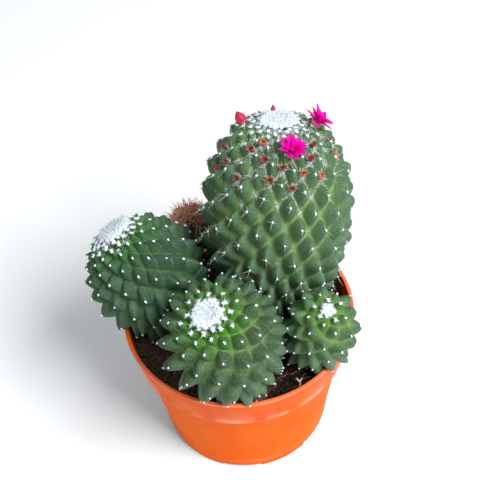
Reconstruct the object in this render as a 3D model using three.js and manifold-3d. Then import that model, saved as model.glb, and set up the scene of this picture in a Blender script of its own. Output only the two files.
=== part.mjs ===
// A potted clump of nipple cactus: five warty green stems of one plant in a thin plastic pot, the
// tallest one in flower.
//
// Units are millimetres and +Z is up. The origin is the middle of the pot's underside, which stands
// on z = 0. The pot is 120 mm across its rim.
//
// Every stem is a smooth body of revolution whose skin is divided into a golden-angle lattice of
// diamond-shaped cells. Each cell carries one tubercle, raised from the skin by a formula. Flowers,
// buds and the dried remains of older flowers stand in the axils, where four diamonds meet.

import * as THREE from "three";
import { mergeVertices } from "three/addons/utils/BufferGeometryUtils.js";
import Module from "manifold-3d";

const wasm = await Module();
wasm.setup();

// ---------------------------------------------------------------- driving dimensions

const GAP = 0.35; // clearance left between touching pieces

// Pot
const POT_HEIGHT = 85;
const RIM_RADIUS = 60;
const BASE_RADIUS = 46.5;
const WALL = 1.4;
const COLLAR_HEIGHT = 22.5; // the deep band below the rim
const COLLAR_RADIUS = 55.6; // outside radius at the band's lower edge
const COLLAR_STEP = 1.3; // how far the band stands proud of the body
const LIP_HEIGHT = 2.2; // the thickened lip
const LIP_PROUD = 0.7;
const LIP_SLOPE = 0.66; // height of the slope under the lip's face
const LIP_ROUND = 0.5;
const LIP_FALL = 0.2; // the lip's inner edge lies this far below its top
const STEP_HEIGHT = 1; // height over which the wall steps out to the collar
const FLOOR_RECESS = 1.5; // the floor's underside stands this far above the table
const PAD_RADIUS = 12; // the flat pad in the middle of the underside
const FOOT_WIDTH = 8; // the ring that the pot stands on
const FOOT_CORNER = 3;
const FOOT_DRAFT = 1.2;
const DRAIN_COUNT = 6;
const DRAIN_RADIUS = 4;
const DRAIN_CIRCLE = 24;
const SLOT_WIDTH = 22; // gaps in the foot ring that let water out
const SLOT_HEIGHT = 1.1;
const POT_SEGMENTS = 48;

// Soil
const SOIL_LEVEL = 75.5;
const SOIL_LUMP = 0.7;
const SOIL_RINGS = 5;
const SOIL_SEGMENTS = 32;
const HOLE_CLEARANCE = 0.6;
const HOLE_FLARE = 0.5; // how fast a stem's hole widens towards the surface
const HOLE_LEVELS = [-2, 3, 14];
const HOLE_SEGMENTS = 18;

// Stems. `foot` is where the axis enters the soil, `azimuth` and `lean` give its direction in
// degrees, `radius` is measured in the furrows at the widest place and `neck` at the foot. `widest`
// is that place as a share of the length, `flare` shapes the part below it and `dome` the part
// above. `cell` is the area of a full-grown diamond, and `young` the share of the radius below
// which the diamonds shrink. `spirals` are the numbers of the two families of rows, `turn` the way
// the lattice winds and `phase` its start. `crown` is the radius of the woolly crown.
const STEMS = {
  main: {
    foot: [20.2, 12.6, 73],
    azimuth: 74,
    lean: 13.6,
    length: 105.5,
    radius: 31.9,
    neck: 17,
    widest: 0.5,
    flare: 1,
    dome: 2.45,
    cell: 110,
    young: 1,
    tubercle: 7,
    spirals: [13, 21],
    turn: -1,
    phase: 5.255,
    crown: 9.6,
    spine: 4.2,
  },
  left: {
    foot: [-27.1, 1.7, 71],
    azimuth: 152.8,
    lean: 30,
    length: 70.4,
    radius: 24.3,
    neck: 11,
    widest: 0.6,
    flare: 1.8,
    dome: 1.9,
    cell: 79,
    young: 1.05,
    tubercle: 7.2,
    spirals: [13, 21],
    turn: 1,
    phase: 0.67,
    crown: 9.2,
    spine: 0,
  },
  front: {
    foot: [-1.1, -30.1, 73],
    azimuth: -136.4,
    lean: 16,
    length: 63.4,
    radius: 22.6,
    neck: 12,
    widest: 0.6,
    flare: 1.3,
    dome: 2.33,
    cell: 81.4,
    young: 0.876,
    tubercle: 7.4,
    spirals: [8, 13],
    turn: -1,
    phase: 5.734,
    crown: 7.2,
    spine: 0,
  },
  right: {
    foot: [35.5, -23.1, 71.6],
    azimuth: -63.2,
    lean: 15,
    length: 49,
    radius: 13.36,
    neck: 8,
    widest: 0.55,
    flare: 1.2,
    dome: 2.9,
    cell: 59,
    young: 0.82,
    tubercle: 5.4,
    spirals: [5, 8],
    turn: 1,
    phase: 5.8,
    crown: 3.2,
    spine: 0,
  },
  withered: {
    foot: [-17.4, 40.2, 72],
    azimuth: 130,
    lean: 11.2,
    length: 42.8,
    radius: 8.6,
    neck: 6,
    widest: 0.5,
    flare: 1,
    dome: 2.2,
    cell: 44,
    young: 0.9,
    tubercle: 3.4,
    spirals: [5, 8],
    turn: 1,
    phase: 0,
    crown: 3.4,
    spine: 0,
  },
};
const GOLDEN_ANGLE = THREE.MathUtils.degToRad(137.50776);
const ROOT_DEPTH = 18; // the tapered root below each stem
const ROOT_LEVELS = [
  // height below the foot and radius, as shares of the root's depth and of the neck
  [-0.13, 1],
  [-1, 0.35],
];
const SHOULDER_REACH = 0.54; // a tubercle's shoulder, from 0 at its tip to 1 at its corners
const SHOULDER_RISE = 0.72; // the shoulder's height as a share of the tubercle's
const AREOLE_REACH = 0.14; // the pad on the tip that bears the spines
const AREOLE_RISE = 0.98;
const AXIL_SEAT = 0.6; // height of a flower's foot above the bottom of its axil
const TIP_LIFT = 0.25; // how far the tips turn up towards the stem's own tip
const BARE_ABOVE_SOIL = 2; // tubercles grow from nothing between these two heights
const FULL_ABOVE_SOIL = 9;
const SPINE_EVERY = 2; // one tubercle in so many carries spines
const SPINE_SPREAD = 0.9;
const SPINE_LENGTHS = [1, 0, 0.8, 0]; // shares of the longest spine on the pad's four sides

// Woolly crowns and the withered stem's dry tuft
const WOOL_RISE = 2.8;
const WOOL_EDGE_RISE = 1.4;
const WOOL_RAGGED = 0.14;
const TIP_CLEAR = 1.38; // the wool lies this far out, in tubercle heights
const WOOL_SEGMENTS = 14;
const TUFT_RADIUS = 5.2;
const TUFT_BRISTLES = 26;
const BRISTLE_LENGTH = 6;
const BRISTLE_WIDTH = 1.5;

// Flowers, buds and dried flowers, all on the main stem. `axil` counts up the lattice, and `lift`
// turns a flower up towards the stem's own tip.
const FLOWERS = [
  { axil: 165, lift: 0.8 },
  { axil: 188, lift: -0.2 },
];
const BUDS = [
  { axil: 179, lift: 0.3, height: 8.8, radius: 2.8 },
  { axil: 203, lift: 0.3, height: 6, radius: 1.4 },
];
const STALK_RADIUS = 0.6; // where a flower or bud leaves its axil
const STALK_RISE = 0.4;
const TUBE_HEIGHT = 4.2;
const TUBE_RADIUS = 2.1;
const PETAL_LAYERS = [
  { count: 6, length: 5.8, width: 2.8, spread: 12 },
  { count: 9, length: 6.8, width: 3, spread: 38 },
];
const PETAL_THICKNESS = 0.7;
const PETAL_CURL = 22; // degrees by which a petal bends out along its length
const DRIED_AXILS = [
  127, 129, 130, 131, 134, 135, 136, 139, 140, 141, 142, 143, 144, 148, 150, 151, 152, 153, 154,
  156, 157, 160, 161, 164, 168, 170, 181,
];
const DRIED_SEED = 2818;
const DRIED_HEIGHT = 5;
const DRIED_RADIUS = 2;
const DRIED_STALK = 0.7;
const DRIED_TEAR = 1.2; // depth of the tears in the mouth
const DRIED_SIDES = 5;

// ---------------------------------------------------------------- materials

const finish = (color, roughness) =>
  new THREE.MeshStandardMaterial({ color, roughness, metalness: 0 });
const POT_FINISH = finish(0xe06a28, 0.45);
const SOIL_FINISH = finish(0x241812, 1);
const SKIN_FINISH = finish(0x3f6b3c, 0.55);
const WITHERED_FINISH = finish(0x3d4426, 0.9);
const WOOL_FINISH = finish(0xf2f5fa, 1);
const TUFT_FINISH = finish(0x8a5a44, 1);
const PETAL_FINISH = finish(0xe5189a, 0.5);
const TUBE_FINISH = finish(0xb9a860, 0.6);
const BUD_FINISH = finish(0xc94a5a, 0.6);
const DRIED_FINISH = finish(0x7a3a28, 0.9);

// ---------------------------------------------------------------- helpers

/** A closed solid from a geometry: its position attribute alone, with equal vertices merged. */
function solidOf(geometry) {
  const bare = new THREE.BufferGeometry();
  bare.setAttribute("position", geometry.getAttribute("position"));
  if (geometry.index) bare.setIndex(geometry.index);
  const merged = mergeVertices(bare, 1e-4);
  const index = merged.index.array;
  const kept = [];
  for (let i = 0; i < index.length; i += 3) {
    const [a, b, c] = index.slice(i, i + 3);
    if (a !== b && b !== c && a !== c) kept.push(a, b, c);
  }
  return new wasm.Manifold(
    new wasm.Mesh({
      numProp: 3,
      vertProperties: merged.attributes.position.array,
      triVerts: new Uint32Array(kept),
    }),
  );
}

/** A solid from a list of points and a list of triangles whose faces point out. */
function solidFrom(points, triangles) {
  const geometry = new THREE.BufferGeometry().setFromPoints(points);
  geometry.setIndex(triangles.flat());
  return solidOf(geometry);
}

/** A named mesh of a solid's largest body. */
function meshOf(name, solid, material) {
  const bodies = solid.decompose();
  bodies.sort((a, b) => b.volume() - a.volume());
  const { vertProperties, triVerts } = bodies[0].getMesh();
  const geometry = new THREE.BufferGeometry();
  geometry.setAttribute("position", new THREE.BufferAttribute(vertProperties, 3));
  geometry.setIndex(new THREE.BufferAttribute(triVerts, 1));
  geometry.computeVertexNormals();
  const mesh = new THREE.Mesh(geometry, material);
  mesh.name = name;
  return mesh;
}

/** A closed turned solid about +Z: [radius, height] pairs from the axis round to the axis. */
function turned(profile, segments) {
  const points = profile.map(([r, z]) => new THREE.Vector2(r, z));
  return new THREE.LatheGeometry(points, segments).rotateX(Math.PI / 2);
}

/**
 * A closed solid from rings of equal size, listed from the bottom up, with a point at each end.
 * Each ring runs anticlockwise seen from above.
 */
function stacked(bottom, rings, top) {
  const size = rings[0].length;
  const points = [bottom, ...rings.flat(), top];
  const at = (ring, i) => 1 + ring * size + (i % size);
  const triangles = [];
  for (let i = 0; i < size; i++) {
    triangles.push([0, at(0, i + 1), at(0, i)]);
    for (let r = 1; r < rings.length; r++) {
      triangles.push([at(r - 1, i), at(r - 1, i + 1), at(r, i)]);
      triangles.push([at(r - 1, i + 1), at(r, i + 1), at(r, i)]);
    }
    triangles.push([at(rings.length - 1, i), at(rings.length - 1, i + 1), points.length - 1]);
  }
  return solidFrom(points, triangles);
}

/** An angle wrapped to within half a turn of zero. */
const wrapped = (angle) => THREE.MathUtils.euclideanModulo(angle + Math.PI, 2 * Math.PI) - Math.PI;

/** A repeatable random sequence between 0 and 1. */
function seeded(seed) {
  let state = seed;
  return () => {
    state = (state * 1664525 + 1013904223) % 4294967296;
    return state / 4294967296;
  };
}

// ---------------------------------------------------------------- pot

const BODY_TOP = POT_HEIGHT - COLLAR_HEIGHT;
const BODY_TOP_RADIUS = COLLAR_RADIUS - COLLAR_STEP;
const FLOOR_TOP = FLOOR_RECESS + WALL;

/** Inside radius of the pot at a height. */
function potInside(z) {
  const { lerp } = THREE.MathUtils;
  if (z < BODY_TOP) {
    return lerp(BASE_RADIUS, BODY_TOP_RADIUS, (z - FLOOR_TOP) / (BODY_TOP - FLOOR_TOP)) - WALL;
  }
  return lerp(COLLAR_RADIUS, RIM_RADIUS - LIP_PROUD, (z - BODY_TOP) / COLLAR_HEIGHT) - WALL;
}

/** The pot: a foot ring, a tapered body, a deep collar and a rounded lip, all one moulding. */
function makePot() {
  const foot = BASE_RADIUS - FOOT_CORNER;
  const profile = [
    [0, 0],
    [PAD_RADIUS, 0],
    [PAD_RADIUS + FOOT_DRAFT, FLOOR_RECESS],
    [foot - FOOT_WIDTH, FLOOR_RECESS],
    [foot - FOOT_WIDTH + FOOT_DRAFT, 0],
    [foot, 0],
    [BASE_RADIUS, FOOT_CORNER],
    [BODY_TOP_RADIUS, BODY_TOP - STEP_HEIGHT],
    [COLLAR_RADIUS, BODY_TOP],
    [RIM_RADIUS - LIP_PROUD, POT_HEIGHT - LIP_HEIGHT],
    [RIM_RADIUS, POT_HEIGHT - LIP_HEIGHT + LIP_SLOPE],
    [RIM_RADIUS, POT_HEIGHT - LIP_ROUND],
    [RIM_RADIUS - LIP_ROUND, POT_HEIGHT],
    [potInside(POT_HEIGHT), POT_HEIGHT - LIP_FALL],
    [potInside(BODY_TOP), BODY_TOP + STEP_HEIGHT],
    [potInside(BODY_TOP - STEP_HEIGHT), BODY_TOP - STEP_HEIGHT],
    [potInside(FLOOR_TOP), FLOOR_TOP + FOOT_CORNER],
    [foot, FLOOR_TOP],
    [0, FLOOR_TOP],
  ];
  let pot = solidOf(turned(profile, POT_SEGMENTS));
  for (let i = 0; i < DRAIN_COUNT; i++) {
    const angle = ((i + 0.5) / DRAIN_COUNT) * 2 * Math.PI;
    const drain = new THREE.CylinderGeometry(DRAIN_RADIUS, DRAIN_RADIUS, 4 * FLOOR_TOP, 12);
    drain.rotateX(Math.PI / 2).translate(DRAIN_CIRCLE, 0, 0).rotateZ(angle);
    pot = pot.subtract(solidOf(drain));
    const slot = new THREE.BoxGeometry(3 * FOOT_WIDTH, SLOT_WIDTH, 2 * SLOT_HEIGHT);
    slot.translate(BASE_RADIUS, 0, 0).rotateZ(angle);
    pot = pot.subtract(solidOf(slot));
  }
  return pot;
}

/** The room that the collar's wall and lip need. Tubercles that meet it are pressed flat there. */
function makeRimRoom() {
  const inner = potInside(POT_HEIGHT) - GAP;
  const profile = [
    [potInside(BODY_TOP) - GAP, BODY_TOP],
    [COLLAR_RADIUS + GAP, BODY_TOP],
    [RIM_RADIUS + GAP, POT_HEIGHT - LIP_HEIGHT],
    [RIM_RADIUS + GAP, POT_HEIGHT + GAP],
    [inner, POT_HEIGHT + GAP],
    [potInside(BODY_TOP) - GAP, BODY_TOP],
  ];
  return solidOf(turned(profile, POT_SEGMENTS));
}

// ---------------------------------------------------------------- stems

/** One stem: its axis, its smooth skin and the golden-angle lattice on it. */
class Stem {
  constructor(shape) {
    Object.assign(this, shape);
    const azimuth = THREE.MathUtils.degToRad(shape.azimuth);
    const lean = THREE.MathUtils.degToRad(shape.lean);
    this.origin = new THREE.Vector3(...shape.foot);
    this.axis = new THREE.Vector3(
      Math.sin(lean) * Math.cos(azimuth),
      Math.sin(lean) * Math.sin(azimuth),
      Math.cos(lean),
    );
    this.east = new THREE.Vector3(0, 0, 1).cross(this.axis).normalize();
    this.north = this.axis.clone().cross(this.east);
    const [m, n] = this.spirals;
    this.ring = m + n;
    this.byM = wrapped(this.turn * m * GOLDEN_ANGLE);
    this.byN = wrapped(this.turn * n * GOLDEN_ANGLE);
    this.steps = this.walk();
    const last = this.steps.findIndex((s) => this.isDome(s.height) && s.radius < this.crown);
    this.count = Math.floor(last - this.ring / 2);
  }

  isDome(height) {
    return height > this.widest * this.length;
  }

  /** Furrow radius at a height along the axis: a flaring neck, then a superellipse dome. */
  skinRadius(height) {
    const t = THREE.MathUtils.clamp(height / this.length, 0, 1);
    if (t < this.widest) {
      const swell = Math.sin((Math.PI / 2) * (t / this.widest)) ** this.flare;
      return this.neck + (this.radius - this.neck) * swell;
    }
    const up = (t - this.widest) / (1 - this.widest);
    return this.radius * (1 - up ** this.dome) ** (1 / this.dome);
  }

  /** Height of the dome's skin at a radius, the inverse of the dome's superellipse. */
  domeHeight(radius) {
    const up = (1 - (radius / this.radius) ** this.dome) ** (1 / this.dome);
    return this.length * (this.widest + (1 - this.widest) * up);
  }

  /** How large a tubercle is at a place, from 1 on the flanks down to nothing at the tip. */
  sizeAt(height, radius) {
    return this.isDome(height) ? Math.min(1, radius / (this.young * this.radius)) : 1;
  }

  /** Walks up the skin and notes height, radius and slope at each whole step of the lattice. */
  walk() {
    const slices = 4000;
    const innermost = 0.4 * this.crown;
    const steps = [{ height: 0, radius: this.neck, slope: 0 }];
    let passed = 0;
    let before = { height: 0, radius: this.neck };
    for (let i = 1; i <= slices; i++) {
      const height = (i / slices) * this.length;
      const radius = this.skinRadius(height);
      const run = Math.hypot(height - before.height, radius - before.radius);
      const middle = (radius + before.radius) / 2;
      const flank = this.cell * (middle / this.radius);
      const dome = this.cell * this.sizeAt(height, middle) ** 2;
      passed += (2 * Math.PI * middle * run) / (this.isDome(height) ? dome : flank);
      const slope = Math.atan2(before.radius - radius, height - before.height);
      while (steps.length <= passed && middle > innermost) steps.push({ height, radius, slope });
      before = { height, radius };
    }
    return steps;
  }

  /** Point and outward normal on the skin, from a height, a radius, a slope and an angle. */
  skinAt(height, radius, slope, angle) {
    const out = this.east.clone().multiplyScalar(Math.cos(angle));
    out.addScaledVector(this.north, Math.sin(angle));
    const point = this.origin.clone().addScaledVector(out, radius);
    point.addScaledVector(this.axis, height);
    const normal = out.multiplyScalar(Math.cos(slope)).addScaledVector(this.axis, Math.sin(slope));
    return { point, normal };
  }

  /** Place in the cell of tubercle k, with u and v from -0.5 to 0.5 along the two spirals. */
  inCell(k, u, v) {
    const [m, n] = this.spirals;
    const middle = k + this.ring / 2;
    const step = THREE.MathUtils.clamp(middle + u * m + v * n, 0, this.steps.length - 1.001);
    const angle = this.turn * middle * GOLDEN_ANGLE + this.phase + u * this.byM + v * this.byN;
    const low = this.steps[Math.floor(step)];
    const high = this.steps[Math.floor(step) + 1];
    const mix = (key) => THREE.MathUtils.lerp(low[key], high[key], step % 1);
    const place = this.skinAt(mix("height"), mix("radius"), mix("slope"), angle);
    return { ...place, size: this.sizeAt(mix("height"), mix("radius")) };
  }

  /** The bottom of the furrows where four tubercles meet, above tubercle k. */
  axil(k) {
    return this.inCell(k, 0.5, 0.5);
  }

  /** Direction, height and size of tubercle k. */
  tubercleAt(k) {
    const { point, normal, size } = this.inCell(k, 0, 0);
    const above = point.z - SOIL_LEVEL;
    const grown = THREE.MathUtils.smoothstep(above, BARE_ABOVE_SOIL, FULL_ABOVE_SOIL);
    const direction = normal.clone().addScaledVector(this.axis, TIP_LIFT).normalize();
    return { direction, height: this.tubercle * size * grown, size };
  }

  /** The whole stem as a solid. */
  solid() {
    const [m, n] = this.spirals;
    const points = [];
    const triangles = [];
    const add = (point) => points.push(point) - 1;
    const facesOut = this.byM * n > this.byN * m;
    const tri = (a, b, c) => triangles.push(facesOut ? [a, b, c] : [a, c, b]);
    const raised = (k, u, v, rise, tubercle) => {
      const { point } = this.inCell(k, u, v);
      return add(point.addScaledVector(tubercle.direction, rise * tubercle.height));
    };
    const bare = { direction: this.axis, height: 0 };
    const corners = new Map();
    for (let k = -this.ring; k < this.count; k++) corners.set(k, raised(k, 0.5, 0.5, 0, bare));

    const squareRing = (k, reach, rise, tubercle) => {
      const r = reach / 2;
      const turns = [
        [r, r],
        [-r, r],
        [-r, -r],
        [r, -r],
      ];
      return turns.map(([u, v]) => raised(k, u, v, rise, tubercle));
    };
    const band = (outer, inner) => {
      for (let i = 0; i < 4; i++) {
        const j = (i + 1) % 4;
        tri(outer[i], outer[j], inner[i]);
        tri(outer[j], inner[j], inner[i]);
      }
    };
    for (let k = 0; k < this.count; k++) {
      const tubercle = this.tubercleAt(k);
      const outer = [k, k - m, k - m - n, k - n].map((j) => corners.get(j));
      let cap = squareRing(k, SHOULDER_REACH, SHOULDER_RISE, tubercle);
      band(outer, cap);
      const grown = tubercle.height > 0.3 * this.tubercle;
      const spiny = this.spine > 0 && k % SPINE_EVERY === 0 && grown;
      if (spiny) {
        const pad = squareRing(k, AREOLE_REACH, AREOLE_RISE, tubercle);
        band(cap, pad);
        cap = pad;
      }
      const tip = raised(k, 0, 0, 1, tubercle);
      for (let i = 0; i < 4; i++) {
        const j = (i + 1) % 4;
        if (!spiny || SPINE_LENGTHS[i] === 0) {
          tri(cap[i], cap[j], tip);
          continue;
        }
        const side = points[cap[i]].clone().add(points[cap[j]]);
        side.multiplyScalar(0.5).sub(points[tip]).normalize();
        const along = tubercle.direction.clone().addScaledVector(side, SPINE_SPREAD).normalize();
        const length = this.spine * SPINE_LENGTHS[i] * tubercle.size;
        const point = add(points[tip].clone().addScaledVector(along, length));
        tri(cap[i], cap[j], point);
        tri(cap[j], tip, point);
        tri(tip, cap[i], point);
      }
    }

    // The lattice ends in a zigzag of corners above and below. Both are closed in ring order.
    const top = add(this.origin.clone().addScaledVector(this.axis, this.length));
    const bottom = add(this.origin.clone().addScaledVector(this.axis, -ROOT_DEPTH - 1));
    const order = Array.from({ length: this.ring }, (_, i) => (i * m) % this.ring);
    const roots = order.map((i) => {
      const k = i - this.ring;
      const angle = this.turn * (k + this.ring / 2) * GOLDEN_ANGLE + this.phase;
      const column = ROOT_LEVELS.map(([depth, share]) => {
        const turnedBy = angle + (this.byM + this.byN) / 2;
        return add(this.skinAt(depth * ROOT_DEPTH, this.neck * share, 0, turnedBy).point);
      });
      return [corners.get(k), ...column];
    });
    order.forEach((step, i) => {
      const next = (i + 1) % this.ring;
      const first = this.count - this.ring;
      tri(corners.get(first + step), corners.get(first + order[next]), top);
      const here = roots[i];
      const beside = roots[next];
      for (let j = 1; j < here.length; j++) {
        tri(beside[j - 1], here[j - 1], here[j]);
        tri(beside[j - 1], here[j], beside[j]);
      }
      tri(beside[here.length - 1], here[here.length - 1], bottom);
    });
    return solidFrom(points, triangles);
  }

  /** The plain round hole that the stem stands in. */
  hole() {
    const wall = ROOT_LEVELS.map(([depth, share]) => [
      this.neck * share + HOLE_CLEARANCE,
      depth * ROOT_DEPTH - GAP,
    ]);
    const mouth = HOLE_LEVELS.map((height) => [
      this.skinRadius(height) + HOLE_CLEARANCE + HOLE_FLARE * (height - HOLE_LEVELS[0]),
      height,
    ]);
    const top = HOLE_LEVELS[HOLE_LEVELS.length - 1];
    const profile = [[0, -ROOT_DEPTH - 2], ...wall.reverse(), ...mouth, [0, top]];
    return this.placed(solidOf(turned(profile, HOLE_SEGMENTS)));
  }

  /** A solid made about +Z, moved on to this stem's axis with its origin at the foot. */
  placed(solid) {
    const frame = new THREE.Matrix4().makeBasis(this.east, this.north, this.axis);
    return solid.transform(frame.setPosition(this.origin).toArray());
  }

  /** The woolly crown: a ragged shallow dome that lies on the youngest tubercles. */
  wool(radius) {
    const tipHeight = (r) =>
      this.domeHeight(r) + TIP_CLEAR * this.tubercle * (r / (this.young * this.radius));
    const ring = (share, rise) =>
      Array.from({ length: WOOL_SEGMENTS }, (_, i) => {
        const angle = (i / WOOL_SEGMENTS) * 2 * Math.PI;
        const r = radius * share * (1 + WOOL_RAGGED * share * (i % 2 ? 1 : -1));
        return new THREE.Vector3(r * Math.cos(angle), r * Math.sin(angle), tipHeight(r) + rise);
      });
    const low = new THREE.Vector3(0, 0, this.length + GAP);
    const high = new THREE.Vector3(0, 0, this.length + WOOL_RISE);
    const rings = [
      ring(0.5, GAP + 0.4),
      ring(1, GAP + 0.25),
      ring(1, WOOL_EDGE_RISE),
      ring(0.5, WOOL_RISE - 0.5),
    ];
    return this.placed(stacked(low, rings, high));
  }
}

// ---------------------------------------------------------------- flowers, buds and dry tuft

/** A matrix that stands a piece made about +Z in an axil of a stem, `lift` turning it upwards. */
function inAxil(stem, k, lift) {
  const { point, normal } = stem.axil(k);
  const up = normal.clone().addScaledVector(stem.axis, lift).normalize();
  const side = stem.axis.clone().cross(up).normalize();
  const frame = new THREE.Matrix4().makeBasis(side, up.clone().cross(side), up);
  return frame.setPosition(point.addScaledVector(up, AXIL_SEAT)).toArray();
}

/** A ring of points about +Z whose radius and height swell at every other point. */
function wavyRing(sides, radius, height, wave, drop = 0) {
  return Array.from({ length: sides }, (_, i) => {
    const angle = (i / sides) * 2 * Math.PI;
    const out = i % 2;
    const r = radius * (1 + wave * (out - 0.5));
    return new THREE.Vector3(r * Math.cos(angle), r * Math.sin(angle), height - drop * out);
  });
}

/** The flower's tube, narrow in the axil and opening to the petals. */
function makeTube() {
  const rings = [
    wavyRing(8, STALK_RADIUS, STALK_RISE, 0.1),
    wavyRing(8, 1.3, 0.5 * TUBE_HEIGHT, 0.1),
    wavyRing(8, TUBE_RADIUS, TUBE_HEIGHT, 0.2),
  ];
  const end = new THREE.Vector3(0, 0, TUBE_HEIGHT - 0.4);
  return stacked(new THREE.Vector3(0, 0, 0), rings, end);
}

/** One pointed petal in the XZ plane: an arched blade that starts on the axis and leans out. */
function makePetal({ length, width, spread }) {
  const stations = [0.1, 0.62];
  const lean = (t) => THREE.MathUtils.degToRad(spread + PETAL_CURL * t);
  const spine = (t) =>
    new THREE.Vector3(Math.sin(lean(t)), 0, Math.cos(lean(t))).multiplyScalar(length * t);
  const rings = stations.map((t) => {
    const half = (width / 2) * Math.sin(Math.PI * (0.15 + 0.55 * t));
    const centre = spine(t).setZ(spine(t).z - 0.2);
    const thick = new THREE.Vector3(Math.cos(lean(t)), 0, -Math.sin(lean(t)));
    thick.multiplyScalar(PETAL_THICKNESS / 2);
    const side = new THREE.Vector3(0, half, 0);
    return [
      centre.clone().add(thick),
      centre.clone().add(side),
      centre.clone().sub(thick),
      centre.clone().sub(side),
    ];
  });
  return stacked(spine(0).setZ(-0.6), rings, spine(1));
}

/** The open flower's crown: layers of petals on a small cup, standing just above the tube. */
function makeCrown() {
  const cup = [wavyRing(8, TUBE_RADIUS, 0.3, 0.1), wavyRing(8, 0.7 * TUBE_RADIUS, 1.6, 0.1)];
  let crown = stacked(new THREE.Vector3(0, 0, 0), cup, new THREE.Vector3(0, 0, 1.2));
  PETAL_LAYERS.forEach((layer, row) => {
    const petal = makePetal(layer).translate([0, 0, 0.8]);
    for (let i = 0; i < layer.count; i++) {
      crown = crown.add(petal.rotate([0, 0, ((i + 0.5 * row) / layer.count) * 360]));
    }
  });
  return crown.translate([0, 0, TUBE_HEIGHT + GAP]);
}

/** A closed bud: a pointed cone of folded petals. */
function makeBud({ height, radius }) {
  const rings = [
    wavyRing(10, STALK_RADIUS, STALK_RISE, 0.1),
    wavyRing(10, 0.6 * radius, 0.4 * height, 0.12),
    wavyRing(10, radius, 0.6 * height, 0.16),
    wavyRing(10, 0.6 * radius, 0.82 * height, 0.3),
  ];
  return stacked(new THREE.Vector3(0, 0, 0), rings, new THREE.Vector3(0, 0, height));
}

/** The shrivelled remains of a flower: a crumpled cone with a torn mouth. */
function makeDried(random) {
  const crumple = (radius, height, tear) =>
    wavyRing(DRIED_SIDES, radius, height, 0.5, tear).map((p) => {
      p.x *= 0.8 + 0.4 * random();
      p.y *= 0.8 + 0.4 * random();
      return p;
    });
  const tall = DRIED_HEIGHT * (0.85 + 0.3 * random());
  const rings = [
    crumple(DRIED_STALK, 0.25 * tall, 0),
    crumple(DRIED_RADIUS, tall, DRIED_TEAR),
  ];
  return stacked(new THREE.Vector3(0, 0, 0), rings, new THREE.Vector3(0, 0, 0.75 * tall));
}

/** The withered stem's tuft: dry bristles that stand out of a low core on its tip. */
function makeTuft(stem) {
  const random = seeded(TUFT_BRISTLES);
  let tuft = stem.wool(TUFT_RADIUS);
  for (let i = 0; i < TUFT_BRISTLES; i++) {
    const share = Math.sqrt((i + 0.5) / TUFT_BRISTLES);
    const radius = 0.75 * TUFT_RADIUS * share;
    const foot = new THREE.Vector3(radius, 0, stem.domeHeight(radius) + 2);
    const out = THREE.MathUtils.degToRad(75 * share + 20 * (random() - 0.5));
    const length = BRISTLE_LENGTH * (0.75 + 0.5 * random());
    const end = foot.clone();
    end.x += length * Math.sin(out);
    end.z += length * Math.cos(out);
    const ring = wavyRing(3, BRISTLE_WIDTH / 2, 0, 0).map((p) => p.add(foot));
    const below = foot.clone().setZ(foot.z - 0.8);
    const bristle = stacked(below, [ring], end);
    const turnedBy = THREE.MathUtils.radToDeg(i * GOLDEN_ANGLE);
    tuft = tuft.add(stem.placed(bristle.rotate([0, 0, turnedBy])));
  }
  return tuft;
}

// ---------------------------------------------------------------- soil

/** Peat that fills the pot, with a gently lumpy top. */
function makeSoil() {
  const inside = (z) => potInside(z) - GAP - 0.3;
  const ring = (radius, height) =>
    Array.from({ length: SOIL_SEGMENTS }, (_, i) => {
      const angle = (i / SOIL_SEGMENTS) * 2 * Math.PI;
      const x = radius * Math.cos(angle);
      const y = radius * Math.sin(angle);
      return new THREE.Vector3(x, y, height(x, y));
    });
  const lumpy = (x, y) => {
    const broad = Math.sin(0.31 * x + 1.3) * Math.cos(0.27 * y - 0.4);
    return SOIL_LEVEL + SOIL_LUMP * (broad + 0.5 * Math.sin(0.6 * (x - y)));
  };
  const floor = FLOOR_TOP + GAP;
  const rings = [
    ring(BASE_RADIUS - FOOT_CORNER - 1, () => floor),
    ring(inside(FLOOR_TOP), () => floor + FOOT_CORNER),
    ring(inside(BODY_TOP - STEP_HEIGHT), () => BODY_TOP - STEP_HEIGHT),
    ring(inside(BODY_TOP), () => BODY_TOP + STEP_HEIGHT),
    ring(inside(SOIL_LEVEL), () => SOIL_LEVEL),
  ];
  for (let i = SOIL_RINGS - 1; i > 0; i--) {
    rings.push(ring((inside(SOIL_LEVEL) * i) / SOIL_RINGS, lumpy));
  }
  return stacked(new THREE.Vector3(0, 0, floor), rings, new THREE.Vector3(0, 0, lumpy(0, 0)));
}

// ---------------------------------------------------------------- assembly

const plant = new THREE.Group();
const place = (name, solid, material) => plant.add(meshOf(name, solid, material));
const two = (number) => String(number).padStart(2, "0");

place("pot", makePot(), POT_FINISH);

const stems = Object.entries(STEMS).map(([name, shape]) => new Stem({ name, ...shape }));
const [main, , , , withered] = stems;
const soil = stems.reduce((peat, stem) => peat.subtract(stem.hole()), makeSoil());
place("soil", soil, SOIL_FINISH);

const rimRoom = makeRimRoom();
for (const stem of stems) {
  const skin = stem === withered ? WITHERED_FINISH : SKIN_FINISH;
  place(`stem_${stem.name}`, stem.solid().subtract(rimRoom), skin);
}

for (const stem of stems.filter((s) => s !== withered)) {
  place(`wool_${stem.name}`, stem.wool(stem.crown), WOOL_FINISH);
}
place("dry_tuft", makeTuft(withered), TUFT_FINISH);

FLOWERS.forEach(({ axil, lift }, i) => {
  const frame = inAxil(main, axil, lift);
  place(`flower_${i + 1}_tube`, makeTube().transform(frame), TUBE_FINISH);
  place(`flower_${i + 1}_petals`, makeCrown().transform(frame), PETAL_FINISH);
});
BUDS.forEach(({ axil, lift, ...size }, i) => {
  place(`bud_${i + 1}`, makeBud(size).transform(inAxil(main, axil, lift)), BUD_FINISH);
});

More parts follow.
